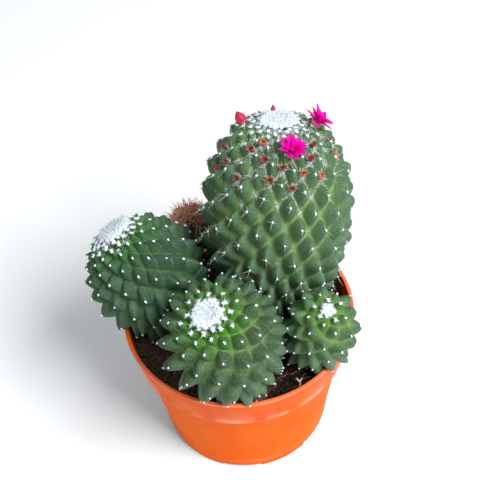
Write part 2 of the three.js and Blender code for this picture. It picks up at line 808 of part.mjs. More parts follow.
const crumpling = seeded(DRIED_SEED);
DRIED_AXILS.forEach((axil, i) => {
  const remains = makeDried(crumpling).transform(inAxil(main, axil, TIP_LIFT));
  place(`dried_flower_${two(i + 1)}`, remains, DRIED_FINISH);
});

export default plant;
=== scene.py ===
"""Looks of a potted round cactus: four woolly-crowned stems and a withered one in a nursery pot.

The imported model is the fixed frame. Each piece here stands for its nodes with finer geometry:
the stems carry rounded tubercles on the same golden-angle lattice, with woolly areoles and spines.
Sizes are millimetres in the frame's axes, with +Z up and the origin under the pot; meshes are
written in metres.
"""

import logging
import math
from collections.abc import Sequence
from dataclasses import dataclass, field
from enum import Enum

import bmesh
import bpy
import numpy as np
from mathutils import Matrix, Vector


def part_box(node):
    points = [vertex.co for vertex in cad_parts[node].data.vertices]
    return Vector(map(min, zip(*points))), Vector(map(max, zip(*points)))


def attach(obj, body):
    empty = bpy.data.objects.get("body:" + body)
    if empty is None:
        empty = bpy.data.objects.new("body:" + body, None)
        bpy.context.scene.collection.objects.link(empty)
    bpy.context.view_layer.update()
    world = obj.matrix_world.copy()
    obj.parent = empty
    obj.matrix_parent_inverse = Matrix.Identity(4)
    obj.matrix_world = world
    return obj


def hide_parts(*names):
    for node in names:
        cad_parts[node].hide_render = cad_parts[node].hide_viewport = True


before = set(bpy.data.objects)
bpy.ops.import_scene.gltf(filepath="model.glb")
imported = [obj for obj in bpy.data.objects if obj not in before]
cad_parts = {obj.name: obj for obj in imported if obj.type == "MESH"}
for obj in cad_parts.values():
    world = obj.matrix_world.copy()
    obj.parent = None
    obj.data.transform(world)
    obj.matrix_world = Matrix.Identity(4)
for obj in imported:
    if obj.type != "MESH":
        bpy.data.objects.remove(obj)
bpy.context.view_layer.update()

log = logging.getLogger("potted_cactus")

Array = np.ndarray
Axes = tuple[Array, Array, Array]
Colour = tuple[float, float, float, float]
Random = np.random.Generator
Mesh = bpy.types.Mesh
Material = bpy.types.Material
Socket = bpy.types.NodeSocket
Tree = bpy.types.ShaderNodeTree

MM = 0.001
TURN = 2 * math.pi
GOLDEN_ANGLE = math.radians(137.50776)

# The frame's own sizes, read from its nodes.
POT_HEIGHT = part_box("pot")[1].z / MM
RIM_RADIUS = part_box("pot")[1].x / MM

# The pot's moulding.
BASE_RADIUS = 46.5
WALL = 1.4
COLLAR_HEIGHT = 22.5
COLLAR_RADIUS = 55.6
COLLAR_STEP = 1.3
LIP_HEIGHT = 2.2
LIP_PROUD = 0.7
FLOOR_RECESS = 1.5
FOOT_CORNER = 3.0
BODY_TOP = POT_HEIGHT - COLLAR_HEIGHT
RIM_CLEARANCE = 0.3

# The peat.
SOIL_LEVEL = 75.5
SOIL_LUMP = 0.7
BARE_ABOVE_SOIL = 2.0
FULL_ABOVE_SOIL = 9.0
ROOT_DEPTH = 18.0

# How far pieces stand out of their furrow, and how far a tubercle turns up towards the stem's tip.
AXIL_SEAT = 0.6
TIP_LIFT = 0.25

# The furrows that hold dried flowers, in the frame's order, with how orange each one is: 0 is dark
# crimson, 0.5 brown and 1 orange.
DRIED_FLOWERS = {
    127: 0.5, 129: 0.4, 130: 0.6, 131: 0.5, 134: 0.55, 135: 0.4, 136: 0.85, 139: 0.5, 140: 0.3,
    141: 1.0, 142: 0.45, 143: 0.6, 144: 0.8, 148: 0.2, 150: 0.3, 151: 0.6, 152: 0.45, 153: 0.9,
    154: 0.5, 156: 0.3, 157: 0.1, 160: 0.05, 161: 0.4, 164: 0.7, 168: 0.0, 170: 0.15, 181: 1.0,
}


class Slot(Enum):
    """Names of the material slots."""

    POT = "pot_plastic"
    SOIL = "peat_soil"
    SKIN = "green_skin"
    WITHERED = "withered_skin"
    WOOL = "white_wool"
    BRISTLES = "dry_bristles"
    PETALS = "petals"
    TUBE = "flower_tube"
    BUD = "bud"
    DRIED = "dried_petals"


# ---- numbers and vectors


def rgb(red: int, green: int, blue: int) -> Colour:
    """Linear colour, with an alpha of 1, from display values of 0 to 255.

    Args:
        red: Display red.
        green: Display green.
        blue: Display blue.

    Returns:
        Linear red, green, blue and alpha.
    """
    display = np.array([red, green, blue]) / 255
    linear = np.where(display < 0.04045, display / 12.92, ((display + 0.055) / 1.055) ** 2.4)
    return (*map(float, linear), 1.0)


def unit(vectors: Array) -> Array:
    """Vectors scaled to length 1 along their last axis."""
    return vectors / np.linalg.norm(vectors, axis=-1, keepdims=True)


def lerp(low: Array | float, high: Array | float, share: Array | float) -> Array | float:
    """The value that lies `share` of the way from low to high."""
    return low + (high - low) * share


def smoothstep(low: float, high: float, value: Array) -> Array:
    """An eased rise from 0 at low to 1 at high."""
    share = np.clip((value - low) / (high - low), 0, 1)
    return share * share * (3 - 2 * share)


def wrapped(angle: Array) -> Array:
    """Angles brought to within half a turn of zero."""
    return (angle + math.pi) % TURN - math.pi


def turn_steps(sides: int) -> Array:
    """Angles of even steps round a whole turn."""
    return TURN * np.arange(sides) / sides


def cylindrical(radius: Array | float, angle: Array, height: Array | float) -> Array:
    """Points about +Z from their radius, angle and height, which broadcast."""
    x, y = radius * np.cos(angle), radius * np.sin(angle)
    return np.stack([x, y, np.broadcast_to(height, x.shape)], -1)


def ripples(points: Array, wavelength: float, seed: int, waves: int = 9) -> Array:
    """Smooth noise: the mean of sine waves with random directions and phases.

    Args:
        points: Places in mm, with x, y and z on the last axis.
        wavelength: The waves' middle length in mm.
        seed: Picks the waves.
        waves: How many waves are summed.

    Returns:
        One value per place, mostly between -1 and 1.
    """
    rng = np.random.default_rng(seed)
    along = unit(rng.normal(size=(waves, 3)))
    along *= (TURN / wavelength) * rng.uniform(0.7, 1.4, (waves, 1))
    phase = rng.uniform(0, TURN, waves)
    return np.sin(points @ along.T + phase).sum(-1) / math.sqrt(waves)


def axes_about(forward: Array, up: Array) -> tuple[Array, Array]:
    """Two unit vectors square to each forward direction, the second as near to up as it gets."""
    side = unit(np.cross(up, forward))
    return side, np.cross(forward, side)


# ---- surfaces


@dataclass
class Surface:
    """Closed shells as points, faces and named values per point.

    Attributes:
        points: Places in mm, one row per point.
        faces: Arrays of point indices, one row per face, for each number of corners.
        values: One number per point for each name, read by the materials.
    """

    points: Array
    faces: list[Array]
    values: dict[str, Array] = field(default_factory=dict)

    @staticmethod
    def joined(parts: Sequence["Surface"]) -> "Surface":
        """All parts as one surface.

        Args:
            parts: The surfaces, with the same values.

        Returns:
            The surface that holds them all.
        """
        starts = np.cumsum([0] + [len(part.points) for part in parts])
        return Surface(
            np.concatenate([part.points for part in parts]),
            [faces + start for part, start in zip(parts, starts) for faces in part.faces],
            {key: np.concatenate([part.values[key] for part in parts]) for key in parts[0].values},
        )

    def mesh(self, name: str) -> Mesh:
        """The surface as a smooth-shaded mesh in metres.

        Args:
            name: The mesh's name.

        Returns:
            The mesh, with the named values as attributes of its points.
        """
        mesh = bpy.data.meshes.new(name)
        corners = np.concatenate([faces.ravel() for faces in self.faces])
        sizes = np.concatenate([np.full(len(faces), faces.shape[1]) for faces in self.faces])
        mesh.vertices.add(len(self.points))
        mesh.vertices.foreach_set("co", (self.points * MM).astype(np.float32).ravel())
        mesh.loops.add(len(corners))
        mesh.loops.foreach_set("vertex_index", corners.astype(np.int32))
        mesh.polygons.add(len(sizes))
        mesh.polygons.foreach_set("loop_start", (np.cumsum(sizes) - sizes).astype(np.int32))
        mesh.polygons.foreach_set("use_smooth", np.ones(len(sizes), bool))
        for key, value in self.values.items():
            attribute = mesh.attributes.new(key, "FLOAT", "POINT")
            attribute.data.foreach_set("value", value.astype(np.float32))
        mesh.update(calc_edges=True)
        mesh.validate()
        return mesh


def per_ring(first: float, rings: Array, last: float, sides: int) -> Array:
    """The values of one shell's points, as a row, from those of its poles and rings."""
    return np.concatenate([[first], np.repeat(rings, sides), [last]])[None]


def closed_shells(rings: Array, start: Array, end: Array, **values: Array | float) -> Surface:
    """Shells drawn over stacks of rings, with a pole at each end.

    Args:
        rings: Points of shape (shells, rings, sides, 3). Each ring runs anticlockwise seen from
            the end pole.
        start: Each shell's first pole, of shape (shells, 3).
        end: Each shell's last pole, of shape (shells, 3).
        **values: Named values that broadcast to (shells, points of one shell).

    Returns:
        One surface that holds every shell.
    """
    shells, ring_count, sides, _ = rings.shape
    size = ring_count * sides + 2
    points = np.concatenate([start[:, None], rings.reshape(shells, -1, 3), end[:, None]], axis=1)
    ring = 1 + sides * np.arange(ring_count - 1)[:, None]
    side = np.arange(sides)
    following = (side + 1) % sides
    walls = np.stack(
        [ring + side, ring + following, ring + sides + following, ring + sides + side], -1
    )
    last = 1 + (ring_count - 1) * sides
    caps = np.concatenate(
        [
            np.stack([np.zeros(sides, int), 1 + following, 1 + side], -1),
            np.stack([np.full(sides, size - 1), last + side, last + following], -1),
        ]
    )
    offsets = size * np.arange(shells)[:, None, None]
    return Surface(
        points.reshape(-1, 3),
        [(walls.reshape(1, -1, 4) + offsets).reshape(-1, 4), (caps + offsets).reshape(-1, 3)],
        {key: np.broadcast_to(value, (shells, size)).ravel() for key, value in values.items()},
    )


def upright(rings: Array, low: float, high: float, **values: Array | float) -> Surface:
    """One shell over rings about +Z, whose poles lie on the axis at two heights."""
    start, end = np.array([[[0, 0, low]], [[0, 0, high]]])
    return closed_shells(rings[None], start, end, **values)


def spikes(
    roots: Array,
    directions: Array,
    lengths: Array,
    widths: Array | float,
    bends: Array,
    tones: Array | float,
    stations: Sequence[float] = (0.0, 0.35, 0.7),
    sides: int = 3,
) -> Surface:
    """Spines and fibres: slim cones along parabolas.

    A point lies at root + length·(direction·t + bend·t²), and the radius falls with the root of
    the length that is left.

    Args:
        roots: Where each spike starts, in mm.
        directions: Unit vectors along which they start.
        lengths: Their lengths in mm.
        widths: Their widths at the root in mm.
        bends: How far each tip is carried aside, as a vector share of the length.
        tones: One value per spike, for its material.
        stations: Shares of the length that hold a ring.
        sides: Sides of each ring.

    Returns:
        The spikes with the values "along" and "tone".
    """
    t = np.array(stations)
    length = lengths[:, None, None]
    run = directions[:, None] * t[:, None] + bends[:, None] * t[:, None] ** 2
    spine = roots[:, None] + length * run
    side, up = axes_about(directions, np.roll(directions, 1, axis=-1) + [0.1, 0.2, 0.3])
    angle = turn_steps(sides)
    ring = side[:, None] * np.cos(angle)[:, None] + up[:, None] * np.sin(angle)[:, None]
    widths, tones = (np.broadcast_to(value, len(roots))[:, None] for value in (widths, tones))
    radius = widths / 2 * np.sqrt(1 - t)
    rings = spine[:, :, None] + radius[:, :, None, None] * ring[:, None]
    end = roots + lengths[:, None] * (directions + bends)
    return closed_shells(rings, roots, end, along=per_ring(0, t, 1, sides), tone=tones)


def stars(
    centres: Array,
    axes: Axes,
    hairs: int,
    length: Array | float,
    lift: Array | float,
    width: float,
    tones: Array | float,
    rng: Random,
    lobes: int = 0,
    bend: float = 0.15,
) -> Surface:
    """Hairs that radiate from each centre.

    Args:
        centres: Where the hairs of each star start, in mm.
        axes: For each star, its side, up and forward unit vectors.
        hairs: Hairs to a star.
        length: Middle length of each star's hairs in mm.
        lift: How far each star's hairs stand up: 0 is flat and 1 about half upright.
        width: Width of a hair in mm.
        tones: One value per star, for the material.
        rng: Source of the directions and lengths.
        lobes: Gathers the hairs in so many bunches when it is above 0.
        bend: How strongly the hairs are bent.

    Returns:
        All hairs as one surface.
    """
    side, up, forward = (axis[:, None] for axis in axes)
    length, lift, tones = (np.broadcast_to(v, len(centres)) for v in (length, lift, tones))
    shape = (len(centres), hairs)
    angle = rng.uniform(0, TURN, shape)
    if lobes:
        bunch = TURN / lobes
        angle = (np.floor(angle / bunch) + 0.5) * bunch + 0.34 * rng.normal(size=shape)
    angle = angle[..., None]
    rise = (lift[:, None] * rng.uniform(0.4, 1.4, shape))[..., None]
    way = unit(side * np.cos(angle) + up * np.sin(angle) + forward * rise).reshape(-1, 3)
    run = (length[:, None] * rng.uniform(0.6, 1.2, shape)).ravel()
    root = np.repeat(centres, hairs, axis=0) + 0.2 * run[:, None] * way
    bends = bend * rng.normal(size=way.shape)
    return spikes(root, way, run, width, bends, np.repeat(tones, hairs), (0.0, 0.5))


def blobs(
    centres: Array,
    axes: Axes,
    radii: Array,
    tones: Array | float,
    rough: float,
    rng: Random,
    rings: int = 5,
    sides: int = 8,
) -> Surface:
    """Small lumpy spheroids.

    Args:
        centres: Their middles in mm.
        axes: For each blob, three unit vectors square to each other.
        radii: Their radii along those axes, of shape (blobs, 3).
        tones: One value per blob, for its material.
        rough: Random share by which a point moves in or out.
        rng: Source of the lumps.
        rings: Rings between the poles.
        sides: Sides of each ring.

    Returns:
        The blobs with the values "along" and "tone".
    """
    polar = math.pi * (1 - np.arange(1, rings + 1) / (rings + 1))
    ball = cylindrical(np.sin(polar)[:, None], turn_steps(sides), np.cos(polar)[:, None])
    local = ball * (1 + rough * rng.uniform(-1, 1, (len(centres), rings, sides, 1)))
    local = local * radii[:, None, None]
    rings_at = centres[:, None, None] + sum(
        local[..., i, None] * axes[i][:, None, None] for i in range(3)
    )
    reach = axes[2] * radii[:, 2:]
    along = (1 + np.cos(per_ring(math.pi, polar, 0, sides))) / 2
    tones = np.broadcast_to(tones, len(centres))[:, None]
    return closed_shells(rings_at, centres - reach, centres + reach, along=along, tone=tones)


def rounded_outline(corners: Sequence[tuple[float, float, float]], steps: int = 5) -> Array:
    """An outline through corners that are rounded with a parabola each.

    Args:
        corners: Radius, height and how far before and after the corner the round starts.
        steps: Points on each round.

    Returns:
        Radius and height of each point.
    """
    places = np.array([corner[:2] for corner in corners])
    cuts = np.array([corner[2] for corner in corners])
    points = [places[:1]]
    t = np.linspace(0, 1, steps)[:, None]
    for before, here, after, cut in zip(places, places[1:], places[2:], cuts[1:]):
        if cut == 0:
            points.append(here[None])
            continue
        start = here + unit(before - here) * cut
        end = here + unit(after - here) * cut
        points.append(start * (1 - t) ** 2 + 2 * here * t * (1 - t) + end * t**2)
    points.append(places[-1:])
    return np.concatenate(points)


def turned(outline: Array, sides: int, **values: Array) -> Surface:
    """An outline that starts and ends on the axis, carried round +Z.

    Args:
        outline: Radius and height of each point, from pole to pole.
        sides: Steps round the axis.
        **values: Named values, one per outline point.

    Returns:
        One closed shell.
    """
    radius, height = outline[1:-1].T[..., None]
    rings = cylindrical(radius, turn_steps(sides), height)
    spread = {
        key: per_ring(value[0], value[1:-1], value[-1], sides) for key, value in values.items()
    }
    return upright(rings, outline[0, 1], outline[-1, 1], **spread)


def in_scene(name: str, data: bpy.types.ID) -> bpy.types.Object:
    """Puts a mesh, light or camera in the scene.

    Args:
        name: The object's name.
        data: What it holds.

    Returns:
        The object.
    """
    thing = bpy.data.objects.new(name, data)
    bpy.context.scene.collection.objects.link(thing)
    return thing


def add_piece(
    name: str,
    shape: Surface | Mesh,
    material: Material,
    replaces: Sequence[str] = (),
) -> None:
    """Adds a shape as a named piece that rides on the frame's root.

    Args:
        name: The piece's name.
        shape: Its surface, or its mesh in metres, already in place.
        material: Its finish.
        replaces: The nodes that it stands for.
    """
    mesh = shape.mesh(name) if isinstance(shape, Surface) else shape
    mesh.materials.append(material)
    piece = in_scene(name, mesh)
    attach(piece, "root")
    if replaces:
        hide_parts(*replaces)
    log.info("%s: %d faces", name, len(mesh.polygons))


# ---- shader nodes


class Nodes:
    """Short calls that build one node tree."""

    def __init__(self, tree: Tree) -> None:
        """Starts an empty tree."""
        self.tree = tree
        tree.nodes.clear()

    def add(self, kind: str, inputs: dict | None = None, **settings: object) -> bpy.types.Node:
        """Adds a node.

        Args:
            kind: The node's type.
            inputs: Sockets by name or number; another socket is linked, a plain value is set.
            **settings: The node's own options.

        Returns:
            The node.
        """
        node = self.tree.nodes.new(kind)
        for option, value in settings.items():
            setattr(node, option, value)
        for key, value in (inputs or {}).items():
            if isinstance(value, Socket):
                self.tree.links.new(value, node.inputs[key])
            else:
                node.inputs[key].default_value = value
        return node

    def place(self) -> Socket:
        """Object coordinates in metres."""
        return self.add("ShaderNodeTexCoord").outputs["Object"]

    def value(self, name: str) -> Socket:
        """A named value of the mesh."""
        return self.add("ShaderNodeAttribute", attribute_name=name).outputs["Fac"]

    def noise(self, scale: Socket | float, detail: float = 3.0) -> Socket:
        """Noise between 0 and 1, with `scale` lumps to the metre."""
        inputs = {"Vector": self.place(), "Scale": scale, "Detail": detail}
        return self.add("ShaderNodeTexNoise", inputs).outputs["Fac"]

    def ramp(self, value: Socket, low: float, high: float) -> Socket:
        """An eased rise from 0 to 1 as value goes from low to high."""
        inputs = {"Value": value, "From Min": low, "From Max": high}
        return self.add("ShaderNodeMapRange", inputs, interpolation_type="SMOOTHSTEP").outputs[0]

    def mix(self, share: Socket, first: Socket | Colour, second: Socket | Colour) -> Socket:
        """A colour between two colours."""
        inputs = {0: share, 6: first, 7: second}
        return self.add("ShaderNodeMix", inputs, data_type="RGBA").outputs[2]

    def multiply(self, first: Socket, second: Socket | float) -> Socket:
        """The product of two numbers."""
        return self.add("ShaderNodeMath", {0: first, 1: second}, operation="MULTIPLY").outputs[0]

    def between(self, share: Socket, low: float, high: float) -> Socket:
        """A number that goes from low to high as share goes from 0 to 1."""
        inputs = {"Value": share, "To Min": low, "To Max": high}
        return self.add("ShaderNodeMapRange", inputs).outputs["Result"]

    def mottled(
        self, colour: Socket, blotch: Colour, scale: float, amount: Socket | float
    ) -> Socket:
        """A colour with blotches of a second one, by their number to the metre and strength."""
        inputs = {"Colour": colour, "Blotch": blotch, "Scale": scale, "Amount": amount}
        return self.add("ShaderNodeGroup", inputs, node_tree=MOTTLE).outputs["Colour"]


def shared_group(
    name: str, inputs: dict[str, str], outputs: dict[str, str]
) -> tuple[Nodes, bpy.types.NodeOutputs]:
    """A new node group with its sockets.

    Args:
        name: The group's name.
        inputs: Socket kind by name.
        outputs: Socket kind by name.

    Returns:
        The builder of its tree, and what the group is given.
    """
    tree = bpy.data.node_groups.new(name, "ShaderNodeTree")
    for way, sockets in (("INPUT", inputs), ("OUTPUT", outputs)):
        for key, kind in sockets.items():
            tree.interface.new_socket(key, in_out=way, socket_type=f"NodeSocket{kind}")
    nodes = Nodes(tree)
    return nodes, nodes.add("NodeGroupInput").outputs


def mottle_group() -> Tree:
    """Blotches of a second colour, broken up by finer specks.

    Returns:
        The group.
    """
    kinds = {"Colour": "Color", "Blotch": "Color", "Scale": "Float", "Amount": "Float"}
    nodes, given = shared_group("mottle", kinds, {"Colour": "Color"})
    mask = nodes.multiply(nodes.ramp(nodes.noise(given["Scale"], 5.0), 0.38, 0.68), given["Amount"])
    nodes.add("NodeGroupOutput", {"Colour": nodes.mix(mask, given["Colour"], given["Blotch"])})
    return nodes.tree


def grain_group() -> Tree:
    """A fine uneven surface as a normal: soft lumps with a finer grain on them.

    Returns:
        The group.
    """
    kinds = {"Scale": "Float", "Depth": "Float"}
    nodes, given = shared_group("grain", kinds, {"Normal": "Vector"})
    lumps = nodes.noise(given["Scale"], 6.0)
    bump = nodes.add(
        "ShaderNodeBump", {"Height": lumps, "Distance": given["Depth"], "Strength": 1.0}
    )
    nodes.add("NodeGroupOutput", {"Normal": bump.outputs["Normal"]})
    return nodes.tree


MOTTLE = mottle_group()
GRAIN = grain_group()


@dataclass(frozen=True, kw_only=True)
class Finish:
    """What every finish has: a roughness and a grain over a painted colour.

    Attributes:
        name: The material's name.
        roughness: How dull the surface is.
        grain: Lumps to the metre of the fine surface.
        depth: Depth of those lumps in mm.
        specular: Strength of the plain reflection.
    """

    name: str
    roughness: float
    grain: float = 900.0
    depth: float = 0.05
    specular: float = 0.4

    UNEVEN = 0.08

    def paint(self, nodes: Nodes) -> Socket:
        """The base colour's socket. Each finish gives its own."""
        raise NotImplementedError

    def material(self) -> Material:
        """Builds the material, a little uneven in its roughness.

        Returns:
            The material.
        """
        material = bpy.data.materials.new(self.name)
        material.use_nodes = True
        nodes = Nodes(material.node_tree)
        given = {"Scale": self.grain, "Depth": self.depth * MM}
        grain = nodes.add("ShaderNodeGroup", given, node_tree=GRAIN)
        smooth, rough = self.roughness - self.UNEVEN, self.roughness + self.UNEVEN
        shader = nodes.add(
            "ShaderNodeBsdfPrincipled",
            {
                "Base Color": self.paint(nodes),
                "Roughness": nodes.between(nodes.noise(self.grain / 3), smooth, rough),
                "Specular IOR Level": self.specular,
                "Normal": grain.outputs["Normal"],
            },
        )
        nodes.add("ShaderNodeOutputMaterial", {"Surface": shader.outputs["BSDF"]})
        return material


@dataclass(frozen=True, kw_only=True)
class Skin(Finish):
    """Waxy skin: pale furrows, blue-green tubercles and fresh green near the crown.

    Attributes:
        deep: Colour on top of a grown tubercle.
        flank: Colour on its sides.
        furrow: Colour in the furrows.
        fresh: Colour of the youngest tubercles.
        fresh_furrow: Colour of the furrows between them.
        shade: Colour that some tubercles lean towards.
        speck: Colour of the fine specks.
        aged: Colour that the oldest tubercles, near the soil, lean towards.
        margin: How far up a tubercle the furrow's colour reaches, 1 is the tip.
        cap: How far up a tubercle its top colour starts.
        wear: How far the oldest tubercles lean.
    """

    roughness: float = 0.5
    depth: float = 0.12
    specular: float = 0.2
    deep: Colour
    flank: Colour
    furrow: Colour
    fresh: Colour = rgb(78, 128, 48)
    fresh_furrow: Colour = rgb(96, 146, 40)
    shade: Colour = rgb(44, 74, 56)
    speck: Colour = rgb(112, 142, 100)
    aged: Colour = rgb(92, 118, 92)
    margin: float = 0.2
    cap: float = 0.3
    wear: float = 0.0

    CAP_RISE = 0.55
    SHADING = 0.3
    SPECKS = 1500.0
    SPECKLE = 0.5

    def paint(self, nodes: Nodes) -> Socket:
        """Blends by height on the tubercle and by age, with a shade of its own for each one.

        Args:
            nodes: The material's nodes.

        Returns:
            The base colour.
        """
        rise = nodes.value("rise")
        top = nodes.ramp(rise, self.cap, self.cap + self.CAP_RISE)
        grown = nodes.mix(top, self.flank, self.deep)
        grown = nodes.mix(nodes.ramp(rise, self.margin, 0.0), grown, self.furrow)
        grown = nodes.mix(nodes.multiply(nodes.value("age"), self.wear), grown, self.aged)
        young = nodes.mix(nodes.ramp(rise, 0.5, 0.0), self.fresh, self.fresh_furrow)
        colour = nodes.mix(nodes.value("youth"), grown, young)
        dark = nodes.mix(nodes.multiply(nodes.value("tone"), self.SHADING), colour, self.shade)
        return nodes.mottled(dark, self.speck, self.SPECKS, self.SPECKLE)


@dataclass(frozen=True, kw_only=True)
class Fibre(Finish):
    """Hair, spines and bristles: one colour at the root and one at the tip.

    Attributes:
        root: Colour at the root.
        tip: Colour at the tip.
        other: Colour that some of them lean towards.
    """

    root: Colour
    tip: Colour
    other: Colour

    def paint(self, nodes: Nodes) -> Socket:
        """Blends along the fibre, and by each fibre's own tone."""
        run = nodes.mix(nodes.value("along"), self.root, self.tip)
        return nodes.mix(nodes.value("tone"), run, self.other)


@dataclass(frozen=True, kw_only=True)
class Petal(Finish):
    """Petals: pale at the throat, vivid above, with a deeper line down the middle and edges.

    Attributes:
        throat: Colour at the foot.
        blade: Colour of the blade.
        line: Colour of the midline and edges.
    """

    throat: Colour = rgb(250, 140, 205)
    blade: Colour = rgb(236, 0, 172)
    line: Colour = rgb(200, 0, 136)

    def paint(self, nodes: Nodes) -> Socket:
        """Blends along the petal and across it.

        Args:
            nodes: The material's nodes.

        Returns:
            The base colour.
        """
        across = nodes.value("across")
        blade = nodes.mix(nodes.ramp(across, 0.55, 1.0), self.blade, self.line)
        blade = nodes.mix(nodes.ramp(across, 0.18, 0.0), blade, self.line)
        return nodes.mix(nodes.ramp(nodes.value("along"), 0.34, 0.03), blade, self.throat)


@dataclass(frozen=True, kw_only=True)
class Banded(Finish):
    """A part that changes through three colours from foot to tip, with mottling.

    Attributes:
        foot: Colour at the foot.
        middle: Colour half-way.
        tip: Colour at the tip.
        blotch: Colour of the mottling.
        blotches: Blotches to the metre.
    """

    foot: Colour
    middle: Colour
    tip: Colour
    blotch: Colour
    blotches: float = 700.0

    def paint(self, nodes: Nodes) -> Socket:
        """Blends along the part, and by its own tone towards the mottling's colour.

        Args:
            nodes: The material's nodes.

        Returns:
            The base colour.
        """
        along = nodes.value("along")
        colour = nodes.mix(nodes.ramp(along, 0.0, 0.5), self.foot, self.middle)
        colour = nodes.mix(nodes.ramp(along, 0.5, 1.0), colour, self.tip)
        amount = nodes.between(nodes.value("tone"), 0.25, 0.95)
        return nodes.mottled(colour, self.blotch, self.blotches, amount)


@dataclass(frozen=True, kw_only=True)
class DriedPetal(Finish):
    """Shrivelled petals: dark crimson, brown or orange by their own tone, paler at torn ends.

    Attributes:
        crimson: Colour at tone 0.
        brown: Colour at tone 0.5.
        orange: Colour at tone 1.
        stain: Colour of the mottling.
        ends: Colour of the torn ends.
    """

    crimson: Colour = rgb(128, 16, 58)
    brown: Colour = rgb(118, 66, 50)
    orange: Colour = rgb(216, 112, 60)
    stain: Colour = rgb(60, 28, 24)
    ends: Colour = rgb(186, 148, 124)

    def paint(self, nodes: Nodes) -> Socket:
        """Blends by tone, mottles with a dark brown and pales the ends.

        Args:
            nodes: The material's nodes.

        Returns:
            The base colour.
        """
        tone = nodes.value("tone")
        colour = nodes.mix(nodes.ramp(tone, 0.0, 0.5), self.crimson, self.brown)
        colour = nodes.mix(nodes.ramp(tone, 0.5, 1.0), colour, self.orange)
        worn = nodes.multiply(nodes.ramp(nodes.value("along"), 0.75, 1.0), 0.45)
        return nodes.mix(worn, nodes.mottled(colour, self.stain, 800.0, 0.6), self.ends)


@dataclass(frozen=True, kw_only=True)
class Peat(Finish):
    """Dark peat with browner crumbs, and painted shade that makes it nearly black on the +X side.

    Attributes:
        dark: Colour of the bed.
        brown: Colour of the driest crumbs.
        painted_shade: Colour of the painted shade.
        shade_ramp: How far the painted shade takes to come in, in mm from the pot's middle.
    """

    dark: Colour = rgb(85, 68, 58)
    brown: Colour = rgb(152, 122, 100)
    painted_shade: Colour = rgb(18, 14, 12)
    shade_ramp: float = 18.0

    def paint(self, nodes: Nodes) -> Socket:
        """Blends two browns by fine noise and by each crumb's own tone, and paints shade on one
        side.

        Args:
            nodes: The material's nodes.

        Returns:
            The base colour.
        """
        fine = nodes.ramp(nodes.noise(900.0, 5.0), 0.45, 0.75)
        base = nodes.mix(fine, self.dark, self.brown)
        drier = nodes.mix(nodes.multiply(nodes.value("tone"), 0.6), base, self.brown)
        # Painted shade: nearly black, eased in along +X.
        east = nodes.add("ShaderNodeSeparateXYZ", {"Vector": nodes.place()}).outputs["X"]
        shade_share = nodes.multiply(nodes.ramp(east, 0.0, self.shade_ramp * MM), 0.88)
        return nodes.mix(shade_share, drier, self.painted_shade)


@dataclass(frozen=True, kw_only=True)
class Plastic(Finish):
    """Thin orange moulded plastic: pinker in the collar, with a painted highlight on its ridges and
    painted shade on its inner wall.

    Attributes:
        body: Colour of the tapered body.
        collar: Colour of the collar.
        ridge: Colour of the painted highlight on the ridges.
        inside: Colour of the painted shade on the inner wall.
        scuff: Colour of faint scuffs.
        bounce: Colour of the soft light that it throws on the peat, the stems and the floor.
    """

    body: Colour = rgb(236, 96, 0)
    collar: Colour = rgb(224, 92, 40)
    ridge: Colour = rgb(250, 150, 118)
    inside: Colour = rgb(120, 44, 24)
    scuff: Colour = rgb(246, 112, 10)
    bounce: Colour = rgb(172, 162, 160)

    BOUNCED = 0.85

    def paint(self, nodes: Nodes) -> Socket:
        """Blends by the mesh's values, with faint scuffs, a painted highlight on the ridges that
        noise breaks up, and painted shade on the inner wall.

        Args:
            nodes: The material's nodes.

        Returns:
            The base colour.
        """
        shell = nodes.mix(nodes.value("collar"), self.body, self.collar)
        scuffed = nodes.mottled(shell, self.scuff, 38.0, 0.4)
        # Painted highlight along the ridges, broken up by noise.
        painted_highlight = nodes.multiply(
            nodes.value("ridge"), nodes.ramp(nodes.noise(60.0, 6.0), 0.3, 0.65)
        )
        highlighted = nodes.mix(painted_highlight, scuffed, self.ridge)
        # Painted shade on the inner wall.
        colour = nodes.mix(nodes.value("inside"), highlighted, self.inside)
        bounced = nodes.add("ShaderNodeLightPath").outputs["Is Diffuse Ray"]
        return nodes.mix(nodes.multiply(bounced, self.BOUNCED), colour, self.bounce)


@dataclass(frozen=True, kw_only=True)
class Paper(Finish):
    """The plain pale floor.

    Attributes:
        white: Its lightest colour.
        shade: Its darkest colour.
    """

    white: Colour = (0.9, 0.905, 0.91, 1.0)
    shade: Colour = (0.86, 0.865, 0.87, 1.0)

    def paint(self, nodes: Nodes) -> Socket:
        """Two near whites in soft noise."""
        return nodes.mix(nodes.noise(6.0), self.white, self.shade)


# ---- stems


def pot_inside(height: Array | float) -> Array | float:
    """Inside radius of the pot's collar at a height."""
    share = (height - BODY_TOP) / COLLAR_HEIGHT
    return lerp(COLLAR_RADIUS, RIM_RADIUS - LIP_PROUD, share) - WALL


def clear_of_rim(points: Array) -> Array:
    """Presses points out of the collar's wall and lip by the shortest way.

    A point that is in the wall goes in, out or up, whichever is the least.

    Args:
        points: Places in mm, with x, y and z on the last axis.

    Returns:
        The places, moved where they have to be.
    """
    radius = np.hypot(points[..., 0], points[..., 1])
    height = points[..., 2]
    level = np.where(height > POT_HEIGHT - LIP_HEIGHT, POT_HEIGHT, height)
    inner = pot_inside(level) - RIM_CLEARANCE
    outer = RIM_RADIUS + RIM_CLEARANCE
    top = POT_HEIGHT + RIM_CLEARANCE
    inwards, outwards, upwards = radius - inner, outer - radius, top - height
    hit = (inwards > 0) & (outwards > 0) & (upwards > 0) & (height > BODY_TOP)
    least = np.minimum(np.minimum(inwards, outwards), upwards)
    goal = np.where(least == inwards, inner, np.where(least == outwards, outer, radius))
    scale = np.where(hit, goal / np.maximum(radius, 1), 1)
    moved = points * np.stack([scale, scale, np.ones_like(scale)], -1)
    moved[..., 2] = np.where(hit & (least == upwards), top, height)
    return moved


